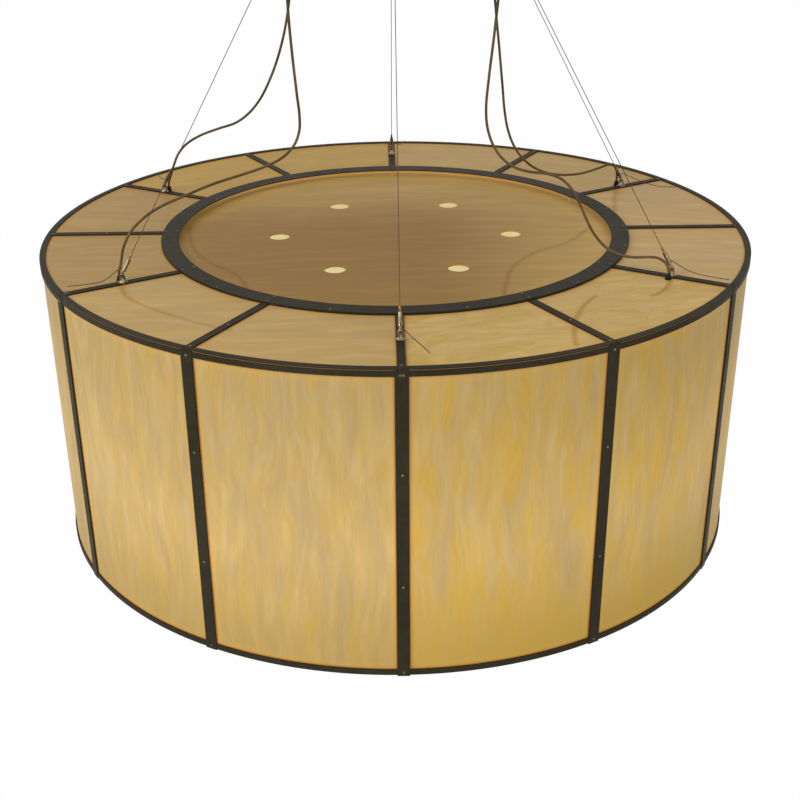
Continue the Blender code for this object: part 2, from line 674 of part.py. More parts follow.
def make_grippers(drum):
    """Grippers that swivel in the bells, each with its release plunger and the cable's cut tail."""
    radius, bore, counterbore = GRIPPER_DIAMETER / 2, BORE_DIAMETER / 2, COUNTERBORE_DIAMETER / 2
    neck, ball = NECK_DIAMETER / 2, BALL_DIAMETER / 2
    body_profile = [
        (0, BORE_START),
        (bore, BORE_START),
        (bore, COUNTERBORE_START),
        (counterbore, COUNTERBORE_START),
        (counterbore, GRIPPER_END),
        (radius - GRIPPER_CHAMFER, GRIPPER_END),
        (radius, GRIPPER_END - GRIPPER_CHAMFER),
        (radius, GRIPPER_START + GRIPPER_CHAMFER),
        (radius - GRIPPER_CHAMFER, GRIPPER_START),
        (neck, GRIPPER_START),
        *ball_arc(ball, 0, asin(neck / ball), pi, 4),
    ]
    plunger, nozzle = PLUNGER_DIAMETER / 2, NOZZLE_DIAMETER / 2
    plunger_profile = [
        (nozzle, NOZZLE_END),
        (nozzle, NOZZLE_SHOULDER),
        (plunger, GRIPPER_END),
        (plunger, PLUNGER_START),
        (bore, PLUNGER_START),
        (bore, NOZZLE_END),
    ]

    def exit_drill(shape):
        length, hole = radius + CUT_OVERRUN, EXIT_DIAMETER / 2
        way = Matrix.Translation((0, 0, EXIT_HEIGHT)) @ Matrix.Rotation(pi / 2 + EXIT_SLOPE, 4, "Y")
        bmesh.ops.create_cone(
            shape, cap_ends=True, segments=TURNED_FACETS, radius1=hole, radius2=hole, depth=length,
            matrix=way @ Matrix.Translation((0, 0, length / 2)),
        )

    for number, spoke in enumerate(GRIPPER_SPOKES, 1):
        pivot = empty(
            f"gripper_pivot_{number}", radial(spoke, GRIPPER_CIRCLE_RADIUS, 0, PIVOT_HEIGHT),
            (0, -CABLE_LEAN, spoke_angle(spoke)), drum,
        )
        body = turned(f"gripper_body_{number}", body_profile, TURNED_FACETS, nickel, pivot)
        drill = piece(f"exit_drill_{number}", mesh_from(f"exit_drill_{number}", exit_drill), nickel, pivot)
        combine(body, drill, "DIFFERENCE")
        turned(f"release_plunger_{number}", plunger_profile, TURNED_FACETS, brass, pivot, closed=True)
        make_tail(number, spoke, pivot)


def make_tail(number, spoke, pivot):
    """The cut tail of a cable: it starts inside the gripper's side hole and springs out over the sheets."""
    way = Vector((cos(EXIT_SLOPE), 0, -sin(EXIT_SLOPE)))
    points = [
        Vector((0, 0, EXIT_HEIGHT)) + way * reach
        for reach in (TAIL_INSET, GRIPPER_DIAMETER / 2, GRIPPER_DIAMETER)
    ]
    upright = Matrix.Rotation(CABLE_LEAN, 3, "Y")
    points += [upright @ (Vector(place) - Vector((0, 0, PIVOT_HEIGHT))) for place in TAIL_ROUTES[spoke]]
    line, length = smooth_line(points, CABLE_DIAMETER * STEP_DIAMETERS)
    tube(f"cable_tail_{number}", line, CABLE_DIAMETER, steel, pivot)
    print(f"cable_tail_{number} is {length:.3f} m long")


def make_cables():
    """Straight suspension cables, each with a swaged ball end that swivels in its coupler."""
    ball, barrel, wire = END_BALL_DIAMETER / 2, BARREL_DIAMETER / 2, CABLE_DIAMETER / 2
    barrel_end = -ball - BARREL_LENGTH
    profile = [
        *ball_arc(ball, 0, 0, pi - asin(barrel / ball), 4),
        (barrel, barrel_end),
        (wire, barrel_end - BARREL_TAPER),
        (wire, CABLE_END_HEIGHT - CABLE_SPAN),
        (0, CABLE_END_HEIGHT - CABLE_SPAN),
    ]
    for number, spoke in enumerate(GRIPPER_SPOKES, 1):
        anchor = radial(spoke, ANCHOR_RADIUS, 0, -ANCHOR_DEPTH)
        turned(
            f"suspension_cable_{number}", profile, TURNED_FACETS, steel,
            location=anchor, rotation=(0, -CABLE_LEAN, spoke_angle(spoke)),
        )


def make_power_cords(drum):
    """Strain reliefs in the top sheets, and the cords that rise from them into the canopy."""
    seat = UNDER_STRIP + TOUCH_GAP
    nut_top = TOP_SHEET_BASE - TOUCH_GAP
    tip = UNDER_STRIP + RELIEF_HEIGHT
    profile = [
        (0, tip),
        (RELIEF_TIP_DIAMETER / 2, tip),
        (RELIEF_BODY_DIAMETER / 2, seat + RELIEF_SHOULDER),
        (RELIEF_BODY_DIAMETER / 2, seat + RELIEF_FLANGE_HEIGHT),
        (RELIEF_FLANGE_DIAMETER / 2, seat + RELIEF_FLANGE_HEIGHT),
        (RELIEF_FLANGE_DIAMETER / 2, seat),
        (RELIEF_SHANK_DIAMETER / 2, seat),
        (RELIEF_SHANK_DIAMETER / 2, nut_top),
        (RELIEF_NUT_DIAMETER / 2, nut_top),
        (RELIEF_NUT_DIAMETER / 2, nut_top - RELIEF_NUT_HEIGHT),
        (RELIEF_SHANK_DIAMETER / 2, nut_top - RELIEF_NUT_HEIGHT),
        (RELIEF_SHANK_DIAMETER / 2, seat - RELIEF_SHANK_LENGTH),
        (0, seat - RELIEF_SHANK_LENGTH),
    ]
    floor = DRUM_DROP - CANOPY_DEPTH
    for number, (spoke, side) in enumerate(CORD_SPOKES, 1):
        foot = relief_place(spoke, side)
        turned(f"strain_relief_{number}", profile, TURNED_FACETS, rubber, drum, location=foot)
        exit_point = foot + Vector((0, 0, tip + TOUCH_GAP))
        points = [
            exit_point,
            exit_point + Vector((0, 0, CORD_DIAMETER)),
            *[radial(spoke, *place) for place in CORD_ROUTES[spoke]],
            radial(spoke, CORD_CANOPY_RADIUS, 0, floor - CORD_ENTRY_LENGTH),
            radial(spoke, CORD_CANOPY_RADIUS, 0, floor + CORD_IN_CANOPY),
        ]
        line, length = smooth_line(points, CORD_DIAMETER * STEP_DIAMETERS)
        tube(f"power_cord_{number}", line, CORD_DIAMETER, cord_sleeve, drum)
        print(f"power_cord_{number} is {length:.3f} m long")


for leftover in list(bpy.data.objects):
    bpy.data.objects.remove(leftover)
pieces = collection("drum_pendant_light")
helpers = collection("helper_solids")

bronze = finish("dark_bronze_metal", (0.055, 0.052, 0.040), 0.5, 0.6)
amber = finish("translucent_amber_sheet", (0.62, 0.42, 0.17), 0.45, 0.0)
nickel = finish("polished_nickel", (0.62, 0.58, 0.50), 0.22, 1.0)
brass = finish("polished_brass", (0.70, 0.52, 0.26), 0.22, 1.0)
steel = finish("steel_wire", (0.45, 0.44, 0.42), 0.35, 1.0)
galvanised = finish("galvanised_steel", (0.55, 0.56, 0.57), 0.45, 0.9)
rubber = finish("black_nylon", (0.012, 0.012, 0.012), 0.55, 0.0)
cord_sleeve = finish("bronze_cord_sleeve", (0.10, 0.075, 0.040), 0.6, 0.0)
lit = finish("light_strip_cover", (0.92, 0.86, 0.70), 0.4, 0.0)

drum_centre = empty("drum_top_centre", (0, 0, DRUM_TOP))
make_canopy()
make_top_frame(drum_centre)
make_top_sheets(drum_centre)
make_side(drum_centre)
make_bottom(drum_centre)
make_lamp_carrier(drum_centre)
make_bells(drum_centre)
make_grippers(drum_centre)
make_cables()
make_power_cords(drum_centre)
bpy.context.view_layer.update()
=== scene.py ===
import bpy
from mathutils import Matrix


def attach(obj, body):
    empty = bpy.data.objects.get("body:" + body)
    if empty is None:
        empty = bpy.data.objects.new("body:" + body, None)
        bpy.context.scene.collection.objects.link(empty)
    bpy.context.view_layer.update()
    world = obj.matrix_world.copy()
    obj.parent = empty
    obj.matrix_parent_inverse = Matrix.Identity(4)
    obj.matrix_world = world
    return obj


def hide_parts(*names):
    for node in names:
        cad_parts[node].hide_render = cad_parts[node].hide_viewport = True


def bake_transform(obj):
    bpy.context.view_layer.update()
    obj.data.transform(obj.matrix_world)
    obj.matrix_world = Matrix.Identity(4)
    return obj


bl_info = {
    "name": "Drum Pendant Light",
    "version": (1, 0, 0),
    "blender": (4, 5, 0),
    "location": "View3D > Sidebar > Pendant",
    "description": "Dresses a framed drum pendant with metalwork, amber sheets, hanging hardware and cords",
    "category": "Object",
}

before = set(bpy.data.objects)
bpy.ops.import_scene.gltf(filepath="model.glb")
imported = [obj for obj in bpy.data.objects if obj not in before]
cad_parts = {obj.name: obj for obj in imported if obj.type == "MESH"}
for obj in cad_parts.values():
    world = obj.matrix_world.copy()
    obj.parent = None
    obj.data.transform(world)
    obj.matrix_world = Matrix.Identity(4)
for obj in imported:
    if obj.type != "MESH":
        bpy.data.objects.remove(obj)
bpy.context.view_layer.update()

from math import asin, atan2, ceil, cos, hypot, pi, radians, sin, sqrt

import bpy
from bpy.props import FloatProperty, FloatVectorProperty, IntProperty, PointerProperty
from bpy.types import Operator, Panel, PropertyGroup
from mathutils import Matrix, Vector

# Levels and radii shared by the pieces, as they are in the frame
DRUM_TOP = -0.624
DRUM_RADIUS = 0.762
SHEET_RADIUS = 0.7587
BASE_RADIUS = 0.7554
RING_OUTER = 0.508
RING_INNER = 0.4699
RING_RISE = 0.0028
SHEET_TOP = DRUM_TOP - 0.0028
SHEET_BOTTOM = DRUM_TOP - 0.6397
DISC_TOP = DRUM_TOP - 0.012
GRIPPER_RADIUS = 0.631
PIVOT = 0.017
ANCHOR_RADIUS = 0.280
ANCHOR_DEPTH = 0.060
CANOPY_FLOOR = -0.0508
CORD_CANOPY_RADIUS = 0.240
GLAND_OFFSET = 0.017
GLAND_TIP = 0.0092
TAIL_EXIT = 0.015
TAIL_SLOPE = radians(30)
LEAN = atan2(GRIPPER_RADIUS - ANCHOR_RADIUS, -DRUM_TOP - ANCHOR_DEPTH - PIVOT)
SPAN = hypot(GRIPPER_RADIUS - ANCHOR_RADIUS, -DRUM_TOP - ANCHOR_DEPTH - PIVOT)
BAY = radians(30)
ALL_SPOKES = range(12)
EVEN_SPOKES = (0, 2, 4, 6, 8, 10)
ODD_SPOKES = (1, 3, 5, 7, 9, 11)

# Clearance between neighbours, how far points lie apart that are welded, how far a drill stands out of the
# metal, and the rounding of the sheet metal's edges
GAP = 0.0003
WELD = 0.00001
OVERRUN = 0.01
EDGE = 0.0004

# Spokes with a power cord, and the side that its gland stands on
CORD_SPOKES = ((2, -1), (4, -1), (8, 1), (10, -1))

# Each cord's way to the canopy: distance from the drum's axis, sideways, and up from the drum's top
CORD_ROUTES = {
    2: ((0.624, -0.017, 0.036), (0.618, -0.015, 0.062), (0.601, -0.013, 0.093), (0.574, -0.010, 0.117),
        (0.540, -0.007, 0.135), (0.479, 0, 0.154), (0.415, 0, 0.168), (0.358, 0, 0.176), (0.305, 0, 0.185),
        (0.265, 0, 0.198), (0.238, 0, 0.219), (0.225, 0, 0.246), (0.223, 0, 0.275), (0.227, 0, 0.320),
        (0.233, 0, 0.390), (0.238, 0, 0.470)),
    4: ((0.622, -0.0165, 0.036), (0.607, -0.013, 0.064), (0.589, -0.010, 0.093), (0.562, -0.007, 0.119),
        (0.516, -0.003, 0.146), (0.460, 0, 0.169), (0.410, 0, 0.188), (0.372, 0, 0.214), (0.340, 0, 0.248),
        (0.312, 0, 0.292), (0.286, 0, 0.346), (0.264, 0, 0.410), (0.249, 0, 0.480)),
    8: ((0.629, 0.0165, 0.033), (0.618, 0.014, 0.048), (0.598, 0.010, 0.0545), (0.570, 0.005, 0.053),
        (0.508, 0, 0.049), (0.452, 0, 0.054), (0.404, 0, 0.067), (0.365, 0, 0.087), (0.334, 0, 0.113),
        (0.310, 0, 0.145), (0.294, 0, 0.181), (0.284, 0, 0.222), (0.276, 0, 0.280), (0.265, 0, 0.360),
        (0.252, 0, 0.450)),
    10: ((0.623, -0.0165, 0.030), (0.606, -0.015, 0.037), (0.584, -0.012, 0.0345), (0.556, -0.007, 0.028),
         (0.526, -0.002, 0.0255), (0.494, 0, 0.034), (0.464, 0, 0.059), (0.444, 0, 0.089), (0.427, 0, 0.120),
         (0.408, 0, 0.147), (0.384, 0, 0.164), (0.354, 0, 0.170), (0.315, 0, 0.169), (0.281, 0, 0.174),
         (0.253, 0, 0.189), (0.231, 0, 0.215), (0.218, 0, 0.248), (0.214, 0, 0.286), (0.219, 0, 0.350),
         (0.228, 0, 0.430)),
}

# Each tail's way from its gripper: outwards, sideways and up from the swivel's foot
TAIL_ROUTES = {
    0: ((0.012, 0.004, 0.0270), (0.032, 0.016, 0.0215), (0.058, 0.033, 0.0150), (0.086, 0.050, 0.0090)),
    2: ((0.012, 0.000, 0.0250), (0.025, -0.002, 0.0160), (0.040, -0.005, 0.0085), (0.070, -0.011, 0.0060),
        (0.106, -0.018, 0.0070)),
    4: ((0.010, -0.002, 0.0300), (0.018, -0.006, 0.0335), (0.026, -0.012, 0.0370)),
    6: ((0.012, -0.004, 0.0270), (0.028, -0.015, 0.0190), (0.058, -0.027, 0.0110), (0.100, -0.036, 0.0090)),
    8: ((0.012, -0.006, 0.0260), (0.024, -0.026, 0.0190), (0.038, -0.056, 0.0130), (0.058, -0.082, 0.0090),
        (0.088, -0.098, 0.0080)),
    10: ((0.012, 0.000, 0.0250), (0.034, -0.002, 0.0170), (0.062, -0.006, 0.0140), (0.094, -0.014, 0.0160),
         (0.124, -0.024, 0.0200)),
}

# Where the leads inside the drum lie against the disc and against the top sheets, by the sheet's number
DISC_LEADS = (
    ((0.44, 0.05), (0.4196, 0.0113), (0.3675, -0.0696), (0.2978, -0.1265), (0.245, -0.204), (0.2212, -0.2883),
     (0.2078, -0.3892), (0.205, -0.43)),
    ((-0.458, 0.07), (-0.4542, 0.0246), (-0.4301, -0.0887), (-0.386, -0.1726), (-0.3324, -0.2372),
     (-0.3026, -0.313), (-0.30, -0.34)),
)
SHEET_LEADS = {
    1: (((-0.548, -0.30), (-0.55, -0.3164), (-0.5265, -0.3902), (-0.4844, -0.4402), (-0.4304, -0.4891),
         (-0.3572, -0.5421), (-0.31, -0.57)),),
    5: (((0.548, 0.36), (0.5443, 0.3421), (0.520, 0.24), (0.5045, 0.1331), (0.50, 0.11)),),
    6: (((0.547, -0.30), (0.5465, -0.3166), (0.5296, -0.3712), (0.5047, -0.4087), (0.49, -0.42)),
        ((0.38, -0.42), (0.3669, -0.439), (0.3463, -0.4807), (0.3276, -0.5365), (0.3174, -0.5934),
         (0.3126, -0.638), (0.312, -0.66))),
}


def spoke_angle(spoke):
    """The direction of a spoke, seen from above. Spoke 0 is at the front."""
    return -pi / 2 - spoke * BAY


def radial(spoke, outwards, sideways, up):
    """A point given by a spoke's own directions, up from the drum's top face."""
    angle = spoke_angle(spoke)
    return Vector((
        outwards * cos(angle) - sideways * sin(angle),
        outwards * sin(angle) + sideways * cos(angle),
        DRUM_TOP + up,
    ))


def smooth_line(points, step):
    """Even points on a smooth curve through the given ones, and its length. Its end parts are straight."""
    dense = []
    for before, first, second, after in zip(points, points[1:], points[2:], points[3:]):
        knots = [0]
        for a, b in ((before, first), (first, second), (second, after)):
            knots.append(knots[-1] + sqrt((b - a).length))
        span = knots[2] - knots[1]
        slope_first = span * (
            (first - before) / knots[1] - (second - before) / knots[2] + (second - first) / span
        )
        slope_second = span * (
            (second - first) / span - (after - first) / (knots[3] - knots[1])
            + (after - second) / (knots[3] - knots[2])
        )
        count = ceil((second - first).length / step) * 6
        for t in (j / count for j in range(count)):
            dense.append(
                first * (1 + 2 * t) * (1 - t) ** 2 + slope_first * t * (1 - t) ** 2
                + second * t * t * (3 - 2 * t) + slope_second * t * t * (t - 1)
            )
    dense.append(points[-2])
    lengths = [0]
    for a, b in zip(dense, dense[1:]):
        lengths.append(lengths[-1] + (b - a).length)
    count = ceil(lengths[-1] / step)
    even, at = [points[0]], 0
    for i in range(count + 1):
        wanted = lengths[-1] * i / count
        while at < len(dense) - 2 and lengths[at + 1] < wanted:
            at += 1
        share = (wanted - lengths[at]) / (lengths[at + 1] - lengths[at])
        even.append(dense[at].lerp(dense[at + 1], share))
    even.append(points[-1])
    return even, sum((b - a).length for a, b in zip(even, even[1:]))


# Modelling steps

def clear_selection():
    if bpy.context.mode != "OBJECT":
        bpy.ops.object.mode_set(mode="OBJECT")
    bpy.ops.object.select_all(action="DESELECT")


def pick(made):
    """Makes one piece the selected and active one."""
    clear_selection()
    made.select_set(True)
    bpy.context.view_layer.objects.active = made


def start_editing(made):
    pick(made)
    bpy.ops.object.mode_set(mode="EDIT")
    bpy.ops.mesh.select_all(action="SELECT")


def stop_editing(made):
    """Welds the piece, points its faces outwards and leaves edit mode."""
    bpy.ops.mesh.select_all(action="SELECT")
    bpy.ops.mesh.remove_doubles(threshold=WELD)
    bpy.ops.mesh.normals_make_consistent(inside=False)
    bpy.ops.object.mode_set(mode="OBJECT")
    return made


def named(made, name):
    made.name = name
    made.data.name = name
    return made


def discard(made):
    bpy.data.objects.remove(made)


def modify(made, kind, **settings):
    """Adds one modifier and applies it."""
    pick(made)
    bpy.ops.object.modifier_add(type=kind)
    modifier = made.modifiers[-1]
    for key, value in settings.items():
        setattr(modifier, key, value)
    bpy.ops.object.modifier_apply(modifier=modifier.name)
    return made


def shade(made, angle=30):
    pick(made)
    bpy.ops.object.shade_smooth_by_angle(angle=radians(angle))
    return made


def soften(made, width=EDGE):
    """Rounds the edges a little, as deburred metal has them, and shades the rest smooth."""
    modify(made, "BEVEL", width=width, segments=2, limit_method="ANGLE", angle_limit=radians(30),
           harden_normals=False, use_clamp_overlap=True)
    return shade(made, 20)


def moved(made, matrix):
    made.data.transform(matrix)
    made.data.update()
    return made


def turned(name, profile, sides, hollow=False):
    """Extrudes and scales a circle from ring to ring of a profile. A hollow one ends where it began."""
    clear_selection()
    radius, height = profile[0]
    fill = "NOTHING" if hollow else "NGON"
    bpy.ops.mesh.primitive_circle_add(vertices=sides, radius=radius, fill_type=fill, location=(0, 0, 0))
    made = named(bpy.context.object, name)
    start_editing(made)
    bpy.ops.transform.translate(value=(0, 0, height))
    extrude = bpy.ops.mesh.extrude_edges_move if hollow else bpy.ops.mesh.extrude_region_move
    for next_radius, next_height in profile[1:]:
        extrude(TRANSFORM_OT_translate={"value": (0, 0, next_height - height)})
        factor = next_radius / radius
        bpy.ops.transform.resize(value=(factor, factor, 1), center_override=(0, 0, next_height))
        radius, height = next_radius, next_height
    return stop_editing(made)


def flat_ring(name, outer, inner, low, high):
    """A ring of flat strip."""
    profile = [(outer, high), (outer, low), (inner, low), (inner, high), (outer, high)]
    return turned(name, profile, bpy.context.scene.pendant_drum.sides, True)


def block(name, low, high):
    """A cube brought to its size and place in edit mode."""
    clear_selection()
    bpy.ops.mesh.primitive_cube_add(size=1, location=(0, 0, 0))
    made = named(bpy.context.object, name)
    start_editing(made)
    bpy.ops.transform.resize(value=[b - a for a, b in zip(low, high)], center_override=(0, 0, 0))
    bpy.ops.transform.translate(value=[(a + b) / 2 for a, b in zip(low, high)])
    return stop_editing(made)


def sheet_arc(name, low_radius, high_radius, low, high, spoke, slit_radius):
    """Spins an upright rectangle over two bays, with a slit to the next sheet and both ends closed."""
    clear_selection()
    bpy.ops.mesh.primitive_plane_add(size=1, location=(0, 0, 0))
    made = named(bpy.context.object, name)
    made.data.transform(Matrix.Rotation(pi / 2, 4, "X"))
    start_editing(made)
    bpy.ops.transform.resize(value=(high_radius - low_radius, 1, high - low), center_override=(0, 0, 0))
    bpy.ops.transform.translate(value=((high_radius + low_radius) / 2, 0, (high + low) / 2))
    sweep = 2 * BAY - 2 * GAP / slit_radius
    bpy.ops.mesh.spin(steps=60, angle=sweep, center=(0, 0, 0), axis=(0, 0, 1))
    stop_editing(made)
    angles = [atan2(v.co.y, v.co.x) for v in made.data.vertices]
    turn = spoke_angle(spoke + 1) - (max(angles) + min(angles)) / 2
    made.data.transform(Matrix.Rotation(turn, 4, "Z"))
    return made


def around(made, places):
    """Copies a piece to several places, each copy with its own mesh, and drops the first one."""
    copies = []
    for number, matrix in enumerate(places, 1):
        copy = made.copy()
        copy.data = made.data.copy()
        bpy.context.scene.collection.objects.link(copy)
        copies.append(moved(named(copy, f"{made.name}_{number}"), matrix))
    discard(made)
    return copies


def joined(pieces):
    """Puts loose pieces into one object."""
    pick(pieces[0])
    if len(pieces) > 1:
        for piece in pieces[1:]:
            piece.select_set(True)
        bpy.ops.object.join()
    return pieces[0]


def combined(made, other, operation):
    modify(made, "BOOLEAN", operation=operation, solver="EXACT", object=other)
    discard(other)
    return made


def united(made, other):
    """Welds two solids that overlap into one."""
    return combined(made, other, "UNION")


def drilled(made, drill):
    return combined(made, drill, "DIFFERENCE")


def drills(places, radius, level, sides, overrun=OVERRUN):
    """Cylinders for cutting holes through a sheet at a level, made one at a time and joined."""
    profile = [(radius, level - overrun), (radius, level + overrun)]
    return joined([moved(turned("drill", profile, sides), Matrix.Translation((x, y, 0))) for x, y in places])


def on_circle(radius, spokes):
    """Points at one distance from the axis, in the spokes' directions."""
    return [(radius * cos(spoke_angle(k)), radius * sin(spoke_angle(k))) for k in spokes]


def ball(radius, centre, low_angle, high_angle, steps):
    """A turned ball's profile between two angles, from straight down upwards."""
    return [
        (radius * sin(angle), centre - radius * cos(angle))
        for angle in (low_angle + (high_angle - low_angle) * i / steps for i in range(steps + 1))
    ]


def tube(name, points, diameter, resolution):
    """A round cord or wire along a line of points, with closed ends."""
    line = bpy.data.curves.new(name, "CURVE")
    line.dimensions = "3D"
    line.bevel_depth = diameter / 2
    line.bevel_resolution = resolution
    line.use_fill_caps = True
    spline = line.splines.new("POLY")
    spline.points.add(len(points) - 1)
    for target, point in zip(spline.points, points):
        target.co = (*point, 1)
    made = bpy.data.objects.new(name, line)
    bpy.context.scene.collection.objects.link(made)
    pick(made)
    bpy.ops.object.convert(target="MESH")
    made = named(bpy.context.object, name)
    start_editing(made)
    return shade(stop_editing(made), 60)


def turn_to_spoke(spoke, radius=0, height=0):
    """Stands a piece that was made at the axis on a spoke, its +X pointing outwards."""
    (x, y), = on_circle(radius, (spoke,))
    return Matrix.Translation((x, y, height)) @ Matrix.Rotation(spoke_angle(spoke), 4, "Z")


def leaning(spoke, radius, height):
    """As turn_to_spoke, then leaned in along the cable."""
    return turn_to_spoke(spoke, radius, height) @ Matrix.Rotation(-LEAN, 4, "Y")


def at_grippers():
    """The six places on the grippers' swivels."""
    return [leaning(spoke, GRIPPER_RADIUS, DRUM_TOP + PIVOT) for spoke in EVEN_SPOKES]


def fit(made, body, finish, node):
    """Gives a piece its finish and its body, and hides the frame's node that it stands for."""
    made.data.materials.clear()
    made.data.materials.append(finish)
    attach(made, body)
    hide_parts(node)
    return made


def fit_around(made, places, body, finish, node):
    """Copies a piece to its places and fits each copy. A # in a name is the copy's number."""
    for number, copy in enumerate(around(made, places), 1):
        fit(copy, body.replace("#", str(number)), finish, node.replace("#", str(number)))


# Finishes

def linear(seen):
    """A colour as it is seen, brought to the values that a shader takes."""
    return tuple(c / 12.92 if c <= 0.04045 else ((c + 0.055) / 1.055) ** 2.4 for c in seen) + (1.0,)


def tint(name, share=1.0):
    """One of the panel's colours, or a share of it, as the values that a shader takes."""
    shares = share if isinstance(share, tuple) else (share,) * 3
    seen = getattr(bpy.context.scene.pendant_finishes, name)
    return linear([min(1.0, c * part) for c, part in zip(seen, shares)])


def feed(tree, node, values):
    """Sets a node's inputs, each to a number, a colour or another node's socket."""
    for socket, value in values.items():
        if isinstance(value, bpy.types.NodeSocket):
            tree.links.new(value, node.inputs[socket])
        else:
            node.inputs[socket].default_value = value
    return node


def add_node(tree, kind, values=None, **settings):
    """A shader node with its settings and its inputs."""
    made = tree.nodes.new("ShaderNode" + kind)
    for key, value in settings.items():
        setattr(made, key, value)
    return feed(tree, made, values or {})


def calc(tree, operation, first, second=0.0):
    """One Math node's result."""
    return add_node(tree, "Math", {0: first, 1: second, 2: 0.0}, operation=operation).outputs[0]


def plus(tree, first, second):
    return calc(tree, "ADD", first, second)


def minus(tree, first, second):
    return calc(tree, "SUBTRACT", first, second)


def times(tree, first, second):
    return calc(tree, "MULTIPLY", first, second)


def size_of(tree, value):
    return calc(tree, "ABSOLUTE", value)


def least(tree, first, *others):
    for other in others:
        first = calc(tree, "MINIMUM", first, other)
    return first


def vector_calc(tree, operation, values):
    """One Vector Math node."""
    return add_node(tree, "VectorMath", values, operation=operation)


def blend(tree, share, first, second, kind="MIX"):
    """Two colours mixed."""
    values = {0: share, 6: first, 7: second}
    return add_node(tree, "Mix", values, data_type="RGBA", blend_type=kind).outputs[2]


def ranged(tree, value, low, high, to_low=0.0, to_high=1.0, way="SMOOTHSTEP"):
    values = {0: value, 1: low, 2: high, 3: to_low, 4: to_high}
    return add_node(tree, "MapRange", values, interpolation_type=way).outputs[0]


def noise(tree, vector, scale, detail=3.0, roughness=0.5, distortion=0.0):
    values = {
        "Vector": vector, "Scale": scale, "Detail": detail, "Roughness": roughness, "Distortion": distortion,
    }
    return add_node(tree, "TexNoise", values).outputs[0]


def bumps(tree, height, strength, distance):
    return add_node(tree, "Bump", {"Strength": strength, "Distance": distance, "Height": height}).outputs[0]


def grouped(tree, name, inputs, outputs, build, values):
    """Places a node group. It is built once: build(group, *inputs) gives what it puts out, in order."""
    group = bpy.data.node_groups.get(name)
    if group is None:
        group = bpy.data.node_groups.new(name, "ShaderNodeTree")
        for labels, way in ((inputs, "INPUT"), (outputs, "OUTPUT")):
            for label in labels:
                kind = "Vector" if label in ("Vector", "Start", "Way") else "Float"
                group.interface.new_socket(name=label, in_out=way, socket_type="NodeSocket" + kind)
        start, end = group.nodes.new("NodeGroupInput"), group.nodes.new("NodeGroupOutput")
        feed(group, end, dict(enumerate(build(group, *list(start.outputs)[:len(inputs)]))))
    return add_node(tree, "Group", values, node_tree=group).outputs


def streaks_of(tree, place, curl):
    """Clouds, streaks, wisps, veins and fine grain of poured acrylic. The second axis is the long one."""
    def build(group, vector, curl):
        warp = add_node(group, "TexNoise", {"Vector": vector, "Scale": 0.8, "Detail": 1.5}).outputs["Color"]
        pull = vector_calc(group, "SUBTRACT", {0: warp, 1: (0.5, 0.5, 0.5)}).outputs[0]
        amount = vector_calc(group, "SCALE", {0: pull, "Scale": curl}).outputs[0]
        bent = vector_calc(group, "ADD", {0: vector, 1: amount}).outputs[0]
        longer = vector_calc(group, "MULTIPLY", {0: bent, 1: (1.0, 0.55, 1.0)}).outputs[0]
        longest = vector_calc(group, "MULTIPLY", {0: bent, 1: (1.0, 0.2, 1.0)}).outputs[0]
        streak = noise(group, longer, 2.2, 3.0, 0.55, 0.35)
        vein = size_of(group, minus(group, noise(group, longer, 2.4, 2.5, 0.5, 0.6), 0.5))
        patch = ranged(group, noise(group, vector, 1.1, 2.0, 0.5, 0.5), 0.36, 0.60, 0.25, 1.0)
        return (
            ranged(group, noise(group, bent, 0.55, 2.0, 0.45, 0.2), 0.25, 0.62),
            times(group, patch, ranged(group, streak, 0.32, 0.70)),
            ranged(group, noise(group, longer, 2.6, 1.5, 0.4, 0.2), 0.38, 0.76),
            times(group, ranged(group, vein, 0.0, 0.060, 1.0, 0.0), ranged(group, streak, 0.30, 0.60)),
            ranged(group, noise(group, longest, 9.0, 3.0, 0.55, 0.1), 0.3, 0.7),
        )

    outputs = ("Cloud", "Streak", "Wisp", "Vein", "Grain")
    return grouped(tree, "Sheet Streaks", ("Vector", "Curl"), outputs, build, {"Vector": place, "Curl": curl})


def polar_place(tree, place):
    """The angle from the front, the distance from the axis, and the way across to the nearest spoke line."""
    def build(group, vector):
        x, y = add_node(group, "SeparateXYZ", {0: vector}).outputs[:2]
        angle = calc(group, "ARCTAN2", x, times(group, y, -1.0))
        radius = calc(group, "SQRT", plus(group, times(group, x, x), times(group, y, y)))
        turns = calc(group, "DIVIDE", angle, BAY)
        part = minus(group, turns, calc(group, "ROUND", turns))
        across = times(group, radius, calc(group, "SINE", times(group, part, BAY)))
        return angle, radius, size_of(group, across)

    return grouped(tree, "Polar Place", ("Vector",), ("Angle", "Radius", "Across"), build, {"Vector": place})


def metal_wear(tree, place, scale):
    """Slow colour drift, fine mottling and small scratches on painted or plated metal."""
    def build(group, vector, scale):
        vector = vector_calc(group, "SCALE", {0: vector, "Scale": scale}).outputs[0]
        drift = noise(group, vector, 4.0, 3.0, 0.55)
        mottle = noise(group, vector, 60.0, 4.0, 0.6)
        brushed = add_node(group, "Mapping", {"Vector": vector, "Scale": (1.0, 1.0, 0.15)}).outputs[0]
        fine = noise(group, brushed, 700.0, 2.0, 0.5)
        height = plus(group, times(group, mottle, 0.6), times(group, fine, 0.4))
        return ranged(group, drift, 0.3, 0.7), ranged(group, mottle, 0.35, 0.65), height

    outputs = ("Drift", "Mottle", "Height")
    return grouped(tree, "Metal Wear", ("Vector", "Scale"), outputs, build, {"Vector": place, "Scale": scale})


